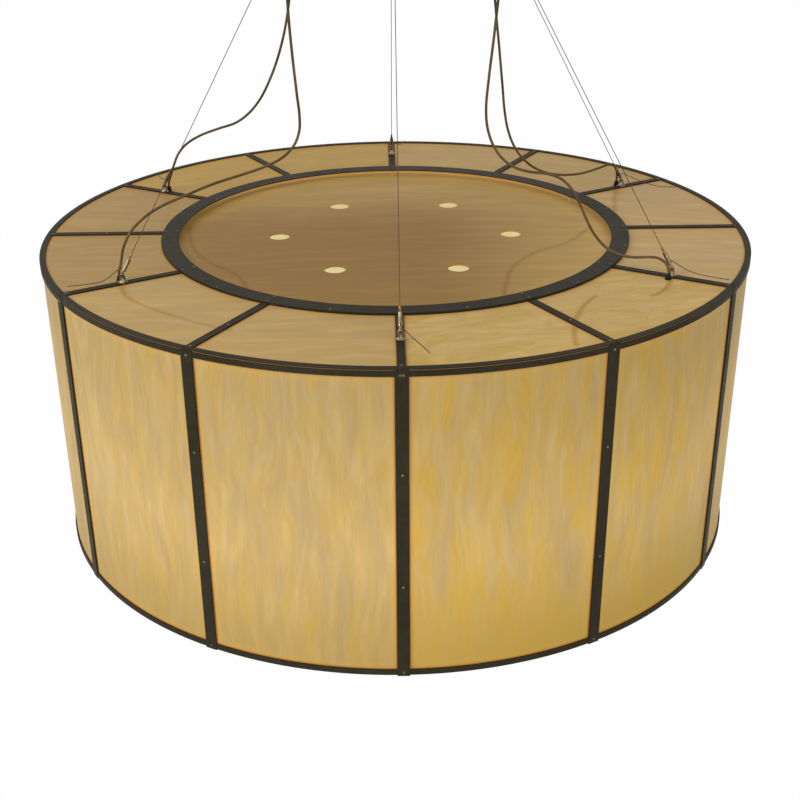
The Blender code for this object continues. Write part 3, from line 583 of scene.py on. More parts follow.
def line_distance(tree, place, first, second):
    """How far a point is from one straight stretch of a line."""
    def build(group, vector, start, way, inverse_square):
        offset = vector_calc(group, "SUBTRACT", {0: vector, 1: start}).outputs[0]
        along = vector_calc(group, "DOT_PRODUCT", {0: offset, 1: way}).outputs["Value"]
        share = add_node(group, "Math", {0: along, 1: inverse_square}, operation="MULTIPLY", use_clamp=True)
        foot = vector_calc(group, "SCALE", {0: way, "Scale": share.outputs[0]}).outputs[0]
        left = vector_calc(group, "SUBTRACT", {0: offset, 1: foot}).outputs[0]
        return vector_calc(group, "LENGTH", {0: left}).outputs["Value"],

    way = second - first
    return grouped(tree, "Line Distance", ("Vector", "Start", "Way", "Inverse Square"), ("Distance",), build,
                   {0: place, 1: first, 2: way, 3: 1 / way.length_squared})[0]


def finished(name, paint, plain, sampling="AUTO"):
    """A material, made once. paint(tree, place) gives the inputs that vary over it, plain the others."""
    made = bpy.data.materials.get(name)
    if made is None:
        made = bpy.data.materials.new(name)
        made.use_nodes = True
        tree = made.node_tree
        place = add_node(tree, "TexCoord").outputs["Object"]
        feed(tree, tree.nodes["Principled BSDF"], {**paint(tree, place), **plain})
        made.cycles.emission_sampling = sampling
    return made


# Each metal's colour and its darker patches' colour, each with its share, then its roughness, metallic,
# fineness of the wear, bump, spread of the roughness and specular level
METALS = {
    "dark_bronze_paint": (("bronze", 1.0), ("bronze_shade", 1.0), 0.52, 0.0, 1.0, 0.05, 0.05, 0.05),
    # Nickel's darker patches are partly painted reflection of dark surroundings, partly wear
    "nickel_finish": (("nickel", 1.0), ("nickel", 0.5), 0.16, 1.0, 24.0, 0.06, 0.08, 0.5),
    "dark_screw_heads": (("nickel", 0.9), ("nickel", 0.5), 0.28, 0.9, 6.0, 0.10, 0.08, 0.5),
    "brass_finish": (("brass", 1.0), ("brass", 0.78), 0.22, 1.0, 12.0, 0.10, 0.08, 0.5),
    "steel_wire_rope": (("wire", 1.0), ("wire", 0.7), 0.50, 0.7, 25.0, 0.20, 0.08, 0.5),
    "zinc_plated_steel": (("zinc", 1.0), ("zinc", 0.85), 0.62, 0.3, 2.0, 0.15, 0.08, 0.2),
    "lamp_washed_zinc": (("zinc", 1.0), ("zinc", 0.85), 0.50, 0.4, 2.0, 0.15, 0.08, 0.5),
}


def metal(name):
    """Painted or plated metal with the wear group's drift and mottling; on nickel the deep darker patches are
    partly painted reflection, the rest wear.
    """
    main, dark, roughness, metallic, scale, bump, spread, mirror = METALS[name]

    def paint(tree, place):
        drift, mottle, height = metal_wear(tree, place, scale)
        share = plus(tree, times(tree, drift, 0.6), times(tree, mottle, 0.4))
        return {
            "Base Color": blend(tree, share, tint(*dark), tint(*main)),
            "Roughness": ranged(tree, mottle, 0.0, 1.0, roughness - spread, roughness + spread, "LINEAR"),
            "Normal": bumps(tree, height, bump, 0.0002),
        }

    return finished(name, paint, {"Metallic": metallic, "Specular IOR Level": mirror})


def bronze():
    return metal("dark_bronze_paint")


def lamp_washed_zinc():
    """Zinc inside the drum with painted light: an emission makes it as bright as the sheets round it while
    the lamps are on.
    """
    made = metal("lamp_washed_zinc")
    tree = made.node_tree
    feed(tree, tree.nodes["Principled BSDF"], {"Emission Color": tint("lit"), "Emission Strength": 0.6})
    made.cycles.emission_sampling = "NONE"
    return made


def moulding():
    """Black moulded nylon with a fine grain."""
    def paint(tree, place):
        grain = noise(tree, place, 900.0, 3.0, 0.6)
        return {
            "Base Color": blend(tree, grain, tint("nylon", 0.7), tint("nylon", 1.3)),
            "Roughness": ranged(tree, grain, 0.3, 0.7, 0.45, 0.6, "LINEAR"),
            "Normal": bumps(tree, grain, 0.25, 0.0001),
        }

    return finished("nylon_finish", paint, {"Specular IOR Level": 0.12})


def cord_sleeve():
    """The cords' bronze-brown sleeve: a fine weave, a little uneven in colour."""
    def paint(tree, place):
        weave = noise(tree, place, 1400.0, 2.0, 0.5)
        drift = noise(tree, place, 22.0, 2.0, 0.5)
        tone = blend(tree, ranged(tree, drift, 0.3, 0.7), tint("cord", 0.82), tint("cord", 1.14))
        return {
            "Base Color": blend(tree, ranged(tree, weave, 0.4, 0.7, 0.0, 0.35), tone, tint("cord", 0.5)),
            "Roughness": ranged(tree, weave, 0.3, 0.7, 0.38, 0.55, "LINEAR"),
            "Normal": bumps(tree, weave, 0.4, 0.0002),
        }

    return finished("bronze_cord_sleeve", paint, {"Specular IOR Level": 0.2})


def sheet_colours(tree, streaks, tones, yellow, vein, grain):
    """Mixes a sheet's base colour from the streak group's values."""
    tone = blend(tree, streaks["Cloud"], tint("amber_cool", tones), tint("amber", tones))
    tone = blend(tree, times(tree, streaks["Wisp"], 0.45), tone, tint("amber_pale", tones))
    tone = blend(tree, times(tree, streaks["Streak"], yellow), tone, tint("yellow"))
    tone = blend(tree, times(tree, streaks["Vein"], vein), tone, tint("yellow"))
    grey = times(tree, minus(tree, 1.0, streaks["Grain"]), grain)
    return blend(tree, grey, tone, (0.32, 0.20, 0.07, 1.0), "MULTIPLY")


def bright_rim(tree, base, inwards, width, share, orange):
    """Painted light: a thin orange line and a softer yellow band where lamplight gathers along a sheet's
    edge.
    """
    base = blend(tree, ranged(tree, inwards, 0.0, width, share, 0.0), base, tint("rim_glow"))
    line = ranged(tree, inwards, 0.0008, 0.0040, orange, 0.0)
    return blend(tree, line, base, tint("rim_line")), line


def glowing(tree, base, strength):
    """A sheet's base colour and a painted glow that stands for the lamplight shining through it: that colour,
    scaled by a strength from 0 to 1.
    """
    grey = add_node(tree, "CombineColor", {0: strength, 1: strength, 2: strength}).outputs[0]
    return {"Base Color": base, "Emission Color": blend(tree, 1.0, base, grey, "MULTIPLY")}


def sheet_gloss(specular):
    return {"Emission Strength": 1.0, "Roughness": 0.45, "Specular IOR Level": specular}


# How each side sheet looks: its tone, darker on the left and right sheets as painted shade, how yellow its
# streaks are, how yellow it is all over and at its foot
SIDE_LOOKS = (
    (0.985, 0.38, 0.0, 0.3), (0.93, 0.38, 0.0, 0.3), (1.0, 0.6, 0.05, 0.3),
    (1.0, 0.75, 0.1, 0.3), (0.95, 0.85, 0.1, 0.3), (1.0, 1.0, 0.1, 0.8),
)
BAR_HALF = 0.0127
SIDE_RIMS = (DRUM_TOP - 0.6303, DRUM_TOP - 0.0155)
GLOW_LEVELS = (DRUM_TOP - 0.64, DRUM_TOP - 0.40, DRUM_TOP - 0.36, DRUM_TOP - 0.02)


def side_finish(number):
    """One curved sheet: upright wavering streaks, a painted warm glow at lamp height and painted bright rims
    of light by the bars.
    """
    tone, yellow, even, deep = SIDE_LOOKS[number - 1]
    foot, below, above, brow = GLOW_LEVELS

    def paint(tree, place):
        angle, _, across = polar_place(tree, place)
        height = add_node(tree, "SeparateXYZ", {0: place}).outputs[2]
        flat = {0: times(tree, angle, 14.0), 1: times(tree, height, 5.2), 2: number * 7.3}
        streaks = streaks_of(tree, add_node(tree, "CombineXYZ", flat).outputs[0], 1.3)
        # The tone carries painted shade: the left and right sheets are darker
        base = sheet_colours(tree, streaks, (tone,) * 3, yellow, 0.45, 0.10)
        deepen = plus(tree, ranged(tree, height, foot, below, deep, 0.0), even)
        base = blend(tree, deepen, base, tint("yellow"))
        inwards = least(tree, minus(tree, across, BAR_HALF), minus(tree, SIDE_RIMS[1], height),
                        minus(tree, height, SIDE_RIMS[0]))
        base, _ = bright_rim(tree, base, inwards, 0.020, 0.35, 0.65)
        # Painted light: a warm glow in the band at lamp height, uneven with the clouds
        lamps = times(tree, ranged(tree, height, foot, above), ranged(tree, height, below, brow, 1.0, 0.0))
        glow = plus(tree, times(tree, lamps, 0.30), 0.02)
        glow = times(tree, glow, ranged(tree, streaks["Cloud"], 0.0, 1.0, 0.8, 1.2, "LINEAR"))
        return glowing(tree, base, glow)

    return finished(f"amber_side_{number}", paint, sheet_gloss(0.04), "NONE")


def lead_shadow(tree, place, leads, level):
    """Painted shadow: soft lines where the leads inside the drum lie against a sheet."""
    stretches = []
    for lead in leads:
        points = smooth_line([Vector((*point, level)) for point in lead], 0.035)[0]
        stretches += [line_distance(tree, place, *pair) for pair in zip(points, points[1:])]
    return ranged(tree, least(tree, *stretches), 0.0, 0.009, 1.0, 0.0)


# How each flat sheet looks: curl of the streaks, how yellow they are, tones, veins, turn in degrees, and how
# dark the leads' shadows are
TOP_LOOKS = (
    (1.2, 0.25, (1.03, 1.0, 0.945), 0.2, 0, 0.42), (1.0, 0.20, (0.935, 0.88, 0.78), 0.1, 4, 0.42),
    (1.4, 0.50, (1.015, 0.945, 0.66), 0.3, -24, 0.42), (1.4, 0.50, (1.035, 1.0, 0.91), 0.3, 20, 0.42),
    (1.2, 0.35, (1.08, 1.055, 1.04), 0.2, 8, 0.42), (2.6, 0.70, (1.115, 1.09, 1.0), 0.6, -12, 0.6),
)
DISC_LOOK = (0.8, 0.2, (1.0, 0.945, 0.78), 0.0, 0, 0.5)
BASE_LOOK = (1.2, 0.4, (1.0, 1.0, 1.0), 0.1, 0, 0.0)
SPOKE_HALF = 0.0080
FLANGE_INNER = 0.7493
BASE_FLANGE_INNER = 0.7354
HUB_MIDDLE = 0.489
HUB_HALF = 0.019
HUB_EDGE = 0.50
DISC_LINE = 0.4985
CUT_EDGE = 0.7587


def disc_shading(tree, place, radius, base):
    """Painted shade and light: the disc is darker towards its front and left, and paler towards the ring,
    where a painted glow stands for lamplight coming up round its edge.
    """
    x, y = add_node(tree, "SeparateXYZ", {0: place}).outputs[:2]
    # Painted shade: darker towards the front and left
    deep = times(tree, ranged(tree, y, 0.40, 0.02, 0.0, 0.62), ranged(tree, x, 0.05, 0.42, 1.0, 0.0))
    base = blend(tree, deep, base, (0.40, 0.28, 0.0, 1.0), "MULTIPLY")
    # Painted light: paler towards the ring, where lamplight comes up round the disc's edge
    return blend(tree, ranged(tree, radius, 0.440, 0.495, 0.0, 0.40), base, linear((0.76, 0.585, 0.36)))


def flat_finish(name, seed, look, leads, level):
    """One flat sheet: long streaks, curled in places, with painted soft shadows of the leads under it,
    painted light along its edges and a painted glow.
    """
    curl, yellow, tones, vein, turn, shadow = look
    disc = name == "amber_disc"

    def paint(tree, place):
        _, radius, across = polar_place(tree, place)
        turned_place = add_node(tree, "Mapping", {"Vector": place, "Rotation": (0, 0, radians(turn + 90))})
        scale = (17.0, 4.8, 1.0) if curl < 1.8 else (13.0, 6.0, 1.0)
        flat = add_node(tree, "Mapping", {
            "Vector": turned_place.outputs[0], "Location": (seed * 3.7, seed * 1.9, seed), "Scale": scale,
        }).outputs[0]
        base = sheet_colours(tree, streaks_of(tree, flat, curl), tones, yellow, vein, 0.05)
        if disc:
            base = disc_shading(tree, place, radius, base)
            inwards = size_of(tree, minus(tree, DISC_LINE, radius))
        elif name == "amber_base":
            off_hub = minus(tree, size_of(tree, minus(tree, radius, HUB_MIDDLE)), HUB_HALF)
            off_spoke = calc(tree, "MAXIMUM", minus(tree, across, SPOKE_HALF), minus(tree, HUB_EDGE, radius))
            inwards = least(tree, off_hub, off_spoke, minus(tree, BASE_FLANGE_INNER, radius))
        else:
            inwards = least(tree, minus(tree, across, SPOKE_HALF), minus(tree, radius, RING_OUTER),
                            minus(tree, FLANGE_INNER, radius))
        if leads:
            painted_lead_shadows = times(tree, lead_shadow(tree, place, leads, level), shadow)
            base = blend(tree, painted_lead_shadows, base, (0.62, 0.42, 0.16, 1.0), "MULTIPLY")
        # Painted light along the sheet's edges; its line also glows
        base, line = bright_rim(tree, base, inwards, 0.014, 0.25, 0.35 if disc else 0.5)
        # Painted shade: darker on the lip past the sheet's cut edge, in the gap under the rim flange
        painted_lip_shade = ranged(tree, radius, CUT_EDGE, 0.7593, 0.0, 0.75)
        base = blend(tree, painted_lip_shade, base, (0.14, 0.075, 0.03, 1.0))
        # Painted light: a glow near the disc's rim, and a faint one on the top sheets' lip
        ends = (0.400, 0.490, 0.0, 0.20) if disc else (CUT_EDGE, 0.7595, 0.0, 0.03)
        painted_edge_glow = ranged(tree, radius, *ends)
        return glowing(tree, base, plus(tree, times(tree, line, 0.05), plus(tree, painted_edge_glow, 0.02)))

    return finished(name, paint, sheet_gloss(0.08), "NONE")


def disc_finish():
    """The disc's darker amber with its painted shade and glow, which its spacers take on."""
    return flat_finish("amber_disc", 9, DISC_LOOK, DISC_LEADS, DISC_TOP)


def lit_inside():
    """The inner faces of the sheets, with painted light: an emission stands for the lamps' wash over a dimmed
    base colour.
    """
    def paint(tree, place):
        wash = blend(tree, noise(tree, place, 4.0, 3.0, 0.5), tint("lit", 0.94), tint("lit"))
        dim = blend(tree, 1.0, wash, (0.3, 0.3, 0.3, 1.0), "MULTIPLY")
        return {"Base Color": dim, "Emission Color": wash}

    return finished("amber_lit_inside", paint,
                    {"Emission Strength": 0.64, "Roughness": 0.6, "Specular IOR Level": 0.2}, "NONE")


def diode_cover():
    """The light strip's cover, with a bright spot over each diode."""
    def paint(tree, place):
        angle = polar_place(tree, place)[0]
        turns = calc(tree, "FRACT", times(tree, angle, 60.0))
        spot = ranged(tree, size_of(tree, minus(tree, turns, 0.5)), 0.0, 0.4, 1.0, 0.35)
        light = blend(tree, spot, tint("lit", 0.8), tint("lit"))
        return {"Base Color": light, "Emission Color": light}

    return finished("diode_cover_finish", paint, {"Emission Strength": 1.2, "Roughness": 0.5})


# What a user would change

def size_setting(label, about, default, low, high):
    return FloatProperty(name=label, description=about, default=default, min=low, max=high, unit="LENGTH",
                         precision=4)


def colour_setting(label, about, *default):
    return FloatVectorProperty(name=label, description=about, default=default, size=3, min=0, max=1,
                               subtype="COLOR_GAMMA")


class PendantDrum(PropertyGroup):
    """Sizes of the drum's metalwork and sheets"""
    strip: size_setting("Strip Thickness", "Thickness of the flat strip in the top and bottom frames",
                        0.0025, 0.001, 0.004)
    flange: size_setting("Rim Flange", "Width of the top frame's outer flange", 0.0127, 0.008, 0.03)
    spoke: size_setting("Spoke Width", "Width of the twelve spokes", 0.0159, 0.008, 0.025)
    bar: size_setting("Bar Width", "Width of the twelve upright bars", 0.0248, 0.012, 0.035)
    hoop: size_setting("Hoop Height", "Height of the hoops round the drum's top and bottom",
                       0.0127, 0.008, 0.03)
    sheet: size_setting("Sheet Thickness", "Thickness of the amber sheets", 0.003, 0.0015, 0.003)
    vent: size_setting("Vent Diameter", "Diameter of the six round vents", 0.0445, 0.01, 0.08)
    head: size_setting("Screw Head", "Diameter of the small domed screw heads", 0.0052, 0.002, 0.006)
    sides: IntProperty(name="Rim Sides", description="Straight sides in the drum's circles",
                       default=360, min=60, max=720)


class PendantHanging(PropertyGroup):
    """Sizes of what the drum hangs on"""
    rope: size_setting("Rope Diameter", "Diameter of the six wire ropes", 0.0016, 0.001, 0.003)
    rope_lay: size_setting("Rope Lay", "Length in which a strand of the rope goes round once",
                           0.012, 0.006, 0.03)
    cord: size_setting("Cord Diameter", "Diameter of the four power cords", 0.0055, 0.003, 0.0055)
    canopy: size_setting("Canopy Diameter", "Diameter of the ceiling canopy", 0.610, 0.58, 0.61)
    canopy_wall: size_setting("Canopy Wall", "Thickness of the canopy's metal", 0.0015, 0.0008, 0.002)


class PendantFinishes(PropertyGroup):
    """Colours as they are seen"""
    bronze: colour_setting("Bronze", "Dark bronze paint", 0.208, 0.190, 0.140)
    bronze_shade: colour_setting("Bronze Shade", "The paint's darker patches", 0.165, 0.148, 0.102)
    # The nickel's dark, warm tint is partly painted reflection of dark amber surroundings, partly the metal's
    # own colour
    nickel: colour_setting("Nickel", "Polished grippers and swivel feet", 0.60, 0.53, 0.42)
    brass: colour_setting("Brass", "Release plungers", 0.56, 0.43, 0.26)
    wire: colour_setting("Wire", "Wire ropes and their tails", 0.32, 0.28, 0.21)
    zinc: colour_setting("Zinc", "Ceiling plate and lamp carrier", 0.58, 0.585, 0.585)
    nylon: colour_setting("Nylon", "Cord glands and grommets", 0.09, 0.085, 0.075)
    cord: colour_setting("Cord", "Power cord sleeve", 0.36, 0.288, 0.155)
    amber: colour_setting("Amber", "The sheets' main tone", 0.698, 0.592, 0.394)
    amber_pale: colour_setting("Pale Amber", "Pale wisps in the sheets", 0.79, 0.675, 0.455)
    amber_cool: colour_setting("Grey Amber", "The sheets' greyer clouds", 0.682, 0.583, 0.410)
    yellow: colour_setting("Yellow", "Yellow streaks in the sheets", 0.735, 0.598, 0.275)
    # Painted light: the soft band and the orange line of lamplight along the sheets' edges, where they meet
    # the metal
    rim_glow: colour_setting("Rim Glow", "Soft band of light along the sheets' edges", 0.81, 0.64, 0.31)
    rim_line: colour_setting("Rim Line", "Orange line where a sheet meets the metal", 0.76, 0.47, 0.15)
    lit: colour_setting("Lit Inside", "The sheets' inner faces and the light strip", 0.95, 0.885, 0.67)


# Camera and cords come first, because the rest stands round them

CAMERA_PLACE = (-0.0346, -2.9156, 0.3134)
CAMERA_YAW = radians(0.797)
CAMERA_PITCH = radians(28.577)
CAMERA_ROLL = radians(-0.459)


class PENDANT_OT_camera(Operator):
    """Stands the camera in front of the drum and above it, looking down"""
    bl_idname = "pendant.camera"
    bl_label = "Camera"

    def execute(self, context):
        clear_selection()
        bpy.ops.object.camera_add(location=(0, 0, 0))
        camera = context.object
        camera.name = "studio_camera"
        flat = cos(CAMERA_PITCH)
        ahead = Vector((sin(CAMERA_YAW) * flat, cos(CAMERA_YAW) * flat, -sin(CAMERA_PITCH)))
        across = Vector((cos(CAMERA_YAW), -sin(CAMERA_YAW), 0))
        level = Matrix((across, across.cross(ahead), -ahead)).transposed()
        turn = Matrix.Rotation(CAMERA_ROLL, 3, "Z")
        camera.matrix_world = Matrix.Translation(CAMERA_PLACE) @ (level @ turn).to_4x4()
        camera.data.lens = 61.68
        camera.data.sensor_width = 36
        camera.data.shift_y = 0.1125
        camera.data.clip_end = 200
        context.scene.camera = camera
        return {"FINISHED"}


CORD_STRAIGHT = 0.0055
CORD_BELOW_CANOPY = 0.016
CORD_INTO_CANOPY = 0.008


class PENDANT_OT_power_cords(Operator):
    """Lays the four power cords from their glands up to the canopy"""
    bl_idname = "pendant.power_cords"
    bl_label = "Power Cords"

    def execute(self, context):
        diameter = context.scene.pendant_hanging.cord
        floor = CANOPY_FLOOR - DRUM_TOP
        for number, (spoke, side) in enumerate(CORD_SPOKES, 1):
            start = radial(spoke, GRIPPER_RADIUS, side * GLAND_OFFSET, GLAND_TIP + GAP)
            points = [
                start,
                start + Vector((0, 0, CORD_STRAIGHT)),
                *[radial(spoke, *place) for place in CORD_ROUTES[spoke]],
                radial(spoke, CORD_CANOPY_RADIUS, 0, floor - CORD_BELOW_CANOPY),
                radial(spoke, CORD_CANOPY_RADIUS, 0, floor + CORD_INTO_CANOPY),
            ]
            line, long = smooth_line(points, diameter * 1.5)
            cord = tube(f"power_lead_{number}", line, diameter, 5)
            cord.data.materials.append(cord_sleeve())
            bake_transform(cord)
            [tuple(p) for p in line]
            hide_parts(f"power_cord_{number}")
        return {"FINISHED"}


# The tail's way through the gripper's wall and out of it
TAIL_REACHES = (0.0026, 0.0046, 0.0092)
TAIL_WAY = Vector((cos(TAIL_SLOPE), 0, -sin(TAIL_SLOPE)))


class PENDANT_OT_rope_tails(Operator):
    """Bends the six cut tails that spring out of the grippers' sides"""
    bl_idname = "pendant.rope_tails"
    bl_label = "Rope Tails"

    def execute(self, context):
        diameter = context.scene.pendant_hanging.rope
        for number, (spoke, gripper) in enumerate(zip(EVEN_SPOKES, at_grippers()), 1):
            points = [gripper @ (Vector((0, 0, TAIL_EXIT)) + TAIL_WAY * reach) for reach in TAIL_REACHES]
            points += [radial(spoke, GRIPPER_RADIUS + out, side, up) for out, side, up in TAIL_ROUTES[spoke]]
            line, long = smooth_line(points, diameter * 2)
            tail = tube(f"rope_tail_{number}", line, diameter, 3)
            fit(tail, f"gripper_{number}", metal("steel_wire_rope"), f"cable_tail_{number}")
            tuple(points[1])
            [tuple(p) for p in line]
        return {"FINISHED"}


# How far the ball end reaches down over the rope, how far the rope stays from the gripper's pivot, and how
# deep the grooves between its strands are
ROPE_TOP = -0.0190
ROPE_END = 0.028
STRAND_SHARE = 0.8
BALL_RADIUS = 0.0035
BALL_NECK = 0.0022


class PENDANT_OT_wire_ropes(Operator):
    """Twists the six wire ropes and swages a ball end on each"""
    bl_idname = "pendant.wire_ropes"
    bl_label = "Wire Ropes"

    def execute(self, context):
        hanging = context.scene.pendant_hanging
        long = SPAN - ROPE_END + ROPE_TOP
        turns = round(long / hanging.rope_lay)
        clear_selection()
        bpy.ops.mesh.primitive_circle_add(vertices=12, radius=hanging.rope / 2, fill_type="NOTHING",
                                          location=(0, 0, 0))
        rope = named(context.object, "wire_rope")
        for vertex in list(rope.data.vertices)[1::2]:
            vertex.co *= STRAND_SHARE
        modify(rope, "SCREW", angle=2 * pi, screw_offset=-long / turns, iterations=turns, steps=8,
               render_steps=8, axis="Z", use_merge_vertices=False, use_smooth_shade=True)
        start_editing(rope)
        bpy.ops.mesh.remove_doubles(threshold=WELD)
        bpy.ops.mesh.fill_holes(sides=0)
        shade(moved(stop_editing(rope), Matrix.Translation((0, 0, ROPE_TOP))), 60)
        end = shade(turned("rope_ball_end", [
            (0.0009, -0.0207), (0.0013, -0.0200), (0.0020, -0.0182), (0.0022, -0.0175), (0.0022, -0.0120),
            (0.00205, -0.0117), (0.00205, -0.0112), (0.0022, -0.0109),
            *ball(BALL_RADIUS, 0, asin(BALL_NECK / BALL_RADIUS), pi - 0.2, 9),
        ], 24))
        places = [leaning(spoke, ANCHOR_RADIUS, -ANCHOR_DEPTH) for spoke in EVEN_SPOKES]
        fit_around(rope, places, "cable_#", metal("steel_wire_rope"), "suspension_cable_#")
        fit_around(end, places, "cable_#", metal("nickel_finish"), "suspension_cable_#")
        return {"FINISHED"}


# The low ribbed band of the gland's nut, and the size of the grips cut into it
GRIP_LOW, GRIP_HIGH = 0.0001, 0.0036
GRIP_INSET, GRIP_DEPTH = 0.0003, -0.0004


class PENDANT_OT_cord_glands(Operator):
    """Turns the four black cord glands and cuts their grips"""
    bl_idname = "pendant.cord_glands"
    bl_label = "Cord Glands"

    def execute(self, context):
        body = turned("lead_gland", [
            (0.0045, -0.0120), (0.0045, -0.0091), (0.0058, -0.0091), (0.0060, -0.0088), (0.0060, -0.0064),
            (0.0058, -0.0061), (0.0045, -0.0061), (0.0045, -0.0025), (0.0062, -0.0025), (0.0065, -0.0022),
            (0.0065, -0.0003), (0.0063, 0), (0.0055, 0.0001), (0.0055, 0.0034), (0.0053, 0.0040),
            (0.0047, 0.0060), (0.0040, 0.0078), (0.0036, 0.0088), (0.0034, 0.0092), (0.0029, 0.0092),
            (0.0029, 0.0085),
        ], 24)
        start_editing(body)
        bpy.ops.mesh.select_all(action="DESELECT")
        bpy.ops.mesh.select_mode(type="FACE")
        bpy.ops.object.mode_set(mode="OBJECT")
        for face in body.data.polygons:
            middle = face.center
            turn = round(atan2(middle.y, middle.x) / (pi / 12) - 0.5)
            face.select = GRIP_LOW < middle.z < GRIP_HIGH and turn % 3 == 0 and abs(face.normal.z) < 0.5
        bpy.ops.object.mode_set(mode="EDIT")
        bpy.ops.mesh.inset(thickness=GRIP_INSET, depth=GRIP_DEPTH, use_individual=True)
        shade(stop_editing(body), 35)
        places = [
            Matrix.Translation(radial(spoke, GRIPPER_RADIUS, side * GLAND_OFFSET, 0))
            for spoke, side in CORD_SPOKES
        ]
        fit_around(body, places, "drum", moulding(), "strain_relief_#")
        return {"FINISHED"}


class PENDANT_OT_swivel_feet(Operator):
    """Turns the six bell-shaped feet that the grippers swivel on"""
    bl_idname = "pendant.swivel_feet"
    bl_label = "Swivel Feet"

    def execute(self, context):
        foot = turned("swivel_foot", [
            (0.0097, GAP), (0.0100, 0.0006), (0.0100, 0.0014), (0.0096, 0.0018), (0.0089, 0.0021),
            (0.0080, 0.0030), (0.0072, 0.0044), (0.0066, 0.0062), (0.0061, 0.0085), (0.0057, 0.0110),
            (0.0054, 0.0130),
            (0.0054, 0.0134), (0.0050, 0.0137), (0.0050, 0.0142), (0.0053, 0.0145), (0.0053, 0.0151),
            (0.0050, 0.0154), (0.0044, 0.0154),
            *reversed(ball(0.0043, PIVOT, 0.25, 1.15, 4)),
        ], 32)
        places = [turn_to_spoke(spoke, GRIPPER_RADIUS, DRUM_TOP) for spoke in EVEN_SPOKES]
        fit_around(shade(foot, 35), places, "drum", metal("nickel_finish"),
                   "gripper_bell_#")
        return {"FINISHED"}


# The hole that the tail comes out of
TAIL_HOLE = [(0.0015, 0), (0.0015, 0.008)]


class PENDANT_OT_gripper_barrels(Operator):
    """Turns and drills the six gripper barrels on their swivel balls"""
    bl_idname = "pendant.gripper_barrels"
    bl_label = "Gripper Barrels"

    def execute(self, context):
        barrel = turned("gripper_barrel", [
            *ball(0.004, 0, 0.2, pi - asin(0.6), 8),
            (0.0024, 0.0062), (0.0026, 0.0069), (0.0037, 0.0071), (0.0043, 0.0077), (0.0043, 0.0118),
            (0.0040, 0.0121), (0.0040, 0.0127), (0.0043, 0.0130), (0.0043, 0.0278), (0.0040, 0.0281),
            (0.0040, 0.0287), (0.0043, 0.0290), (0.0043, 0.0324), (0.0037, 0.0330), (0.0029, 0.0330),
            (0.0029, 0.0200), (0.0015, 0.0196), (0.0015, 0.0080),
        ], 32)
        turn = TAIL_WAY.to_track_quat("Z", "Y").to_matrix().to_4x4()
        drill = moved(turned("drill", TAIL_HOLE, 16), Matrix.Translation((0, 0, TAIL_EXIT)) @ turn)
        shade(drilled(barrel, drill), 35)
        fit_around(barrel, at_grippers(), "gripper_#", metal("nickel_finish"),
                   "gripper_body_#")
        return {"FINISHED"}


class PENDANT_OT_plungers(Operator):
    """Turns the six release plungers that the ropes run through"""
    bl_idname = "pendant.plungers"
    bl_label = "Release Plungers"

    def execute(self, context):
        plunger = turned("gripper_plunger", [
            (0.0011, 0.0235), (0.0026, 0.0235), (0.0026, 0.0340), (0.0024, 0.0345), (0.0023, 0.0348),
            (0.0023, 0.0365), (0.0021, 0.0368), (0.0023, 0.0371), (0.0023, 0.0440), (0.0020, 0.0458),
            (0.0016, 0.0465), (0.0011, 0.0465), (0.0011, 0.0235),
        ], 24, hollow=True)
        fit_around(shade(plunger, 35), at_grippers(), "plunger_#", metal("brass_finish"),
                   "release_plunger_#")
        return {"FINISHED"}


# How far the spokes reach into the rings that they join, and the inner edge of the top frame's hub
SPOKE_OVERLAP = 0.003
RIM_HUB_INNER = 0.489


def spoked(name, outer, flange, hub_inner, low, high):
    """Two flat rings joined by twelve spokes, cut from one sheet of metal."""
    width = bpy.context.scene.pendant_drum.spoke / 2
    rings = joined([
        flat_ring(name, outer, outer - flange, low, high), flat_ring("hub", RING_OUTER, hub_inner, low, high)
    ])
    one = block("spoke", (hub_inner + SPOKE_OVERLAP, -width, low), (outer - SPOKE_OVERLAP, width, high))
    united(rings, joined(around(one, [turn_to_spoke(spoke) for spoke in ALL_SPOKES])))
    return named(soften(rings), name)


class PENDANT_OT_spoked_rim(Operator):
    """Cuts the drum's top frame: rim flange, spokes and hub"""
    bl_idname = "pendant.spoked_rim"
    bl_label = "Top Frame"

    def execute(self, context):
        drum = context.scene.pendant_drum
        made = spoked("spoked_rim", DRUM_RADIUS, drum.flange, RIM_HUB_INNER, DRUM_TOP - drum.strip, DRUM_TOP)
        fit(made, "drum", bronze(), "top_frame")
        return {"FINISHED"}


SPACER_RADIUS = 0.477


class PENDANT_OT_middle_ring(Operator):
    """Cuts the wide middle ring and turns the spacers that carry the disc"""
    bl_idname = "pendant.middle_ring"
    bl_label = "Middle Ring"

    def execute(self, context):
        strip = context.scene.pendant_drum.strip
        ring = flat_ring("middle_ring", RING_OUTER, RING_INNER, DRUM_TOP + GAP, DRUM_TOP + GAP + strip)
        fit(soften(ring), "drum", bronze(), "centre_ring")
        post = turned("spacer", [
            (0.0022, -0.0117), (0.0026, -0.0113), (0.0026, -0.0030), (0.0022, -0.0027), (0.0022, 0.0010),
        ], 24)
        places = [turn_to_spoke(spoke, SPACER_RADIUS, DRUM_TOP) for spoke in EVEN_SPOKES]
        posts = named(joined(around(shade(post, 35), places)), "ring_spacers")
        fit(posts, "drum", disc_finish(), "centre_ring")
        return {"FINISHED"}


def line_inside(sheet, towards="down"):
    """Gives the faces that look into the drum the lit finish."""
    sheet.data.materials.append(lit_inside())
    for face in sheet.data.polygons:
        way = Vector((0, 0, 1 if towards == "up" else -1))
        if towards == "axis":
            way = -Vector((face.center.x, face.center.y, 0)).normalized()
        if face.normal.dot(way) > 0.9:
            face.material_index = 1


DISC_RADIUS = 0.515
VENT_CIRCLE = 0.254


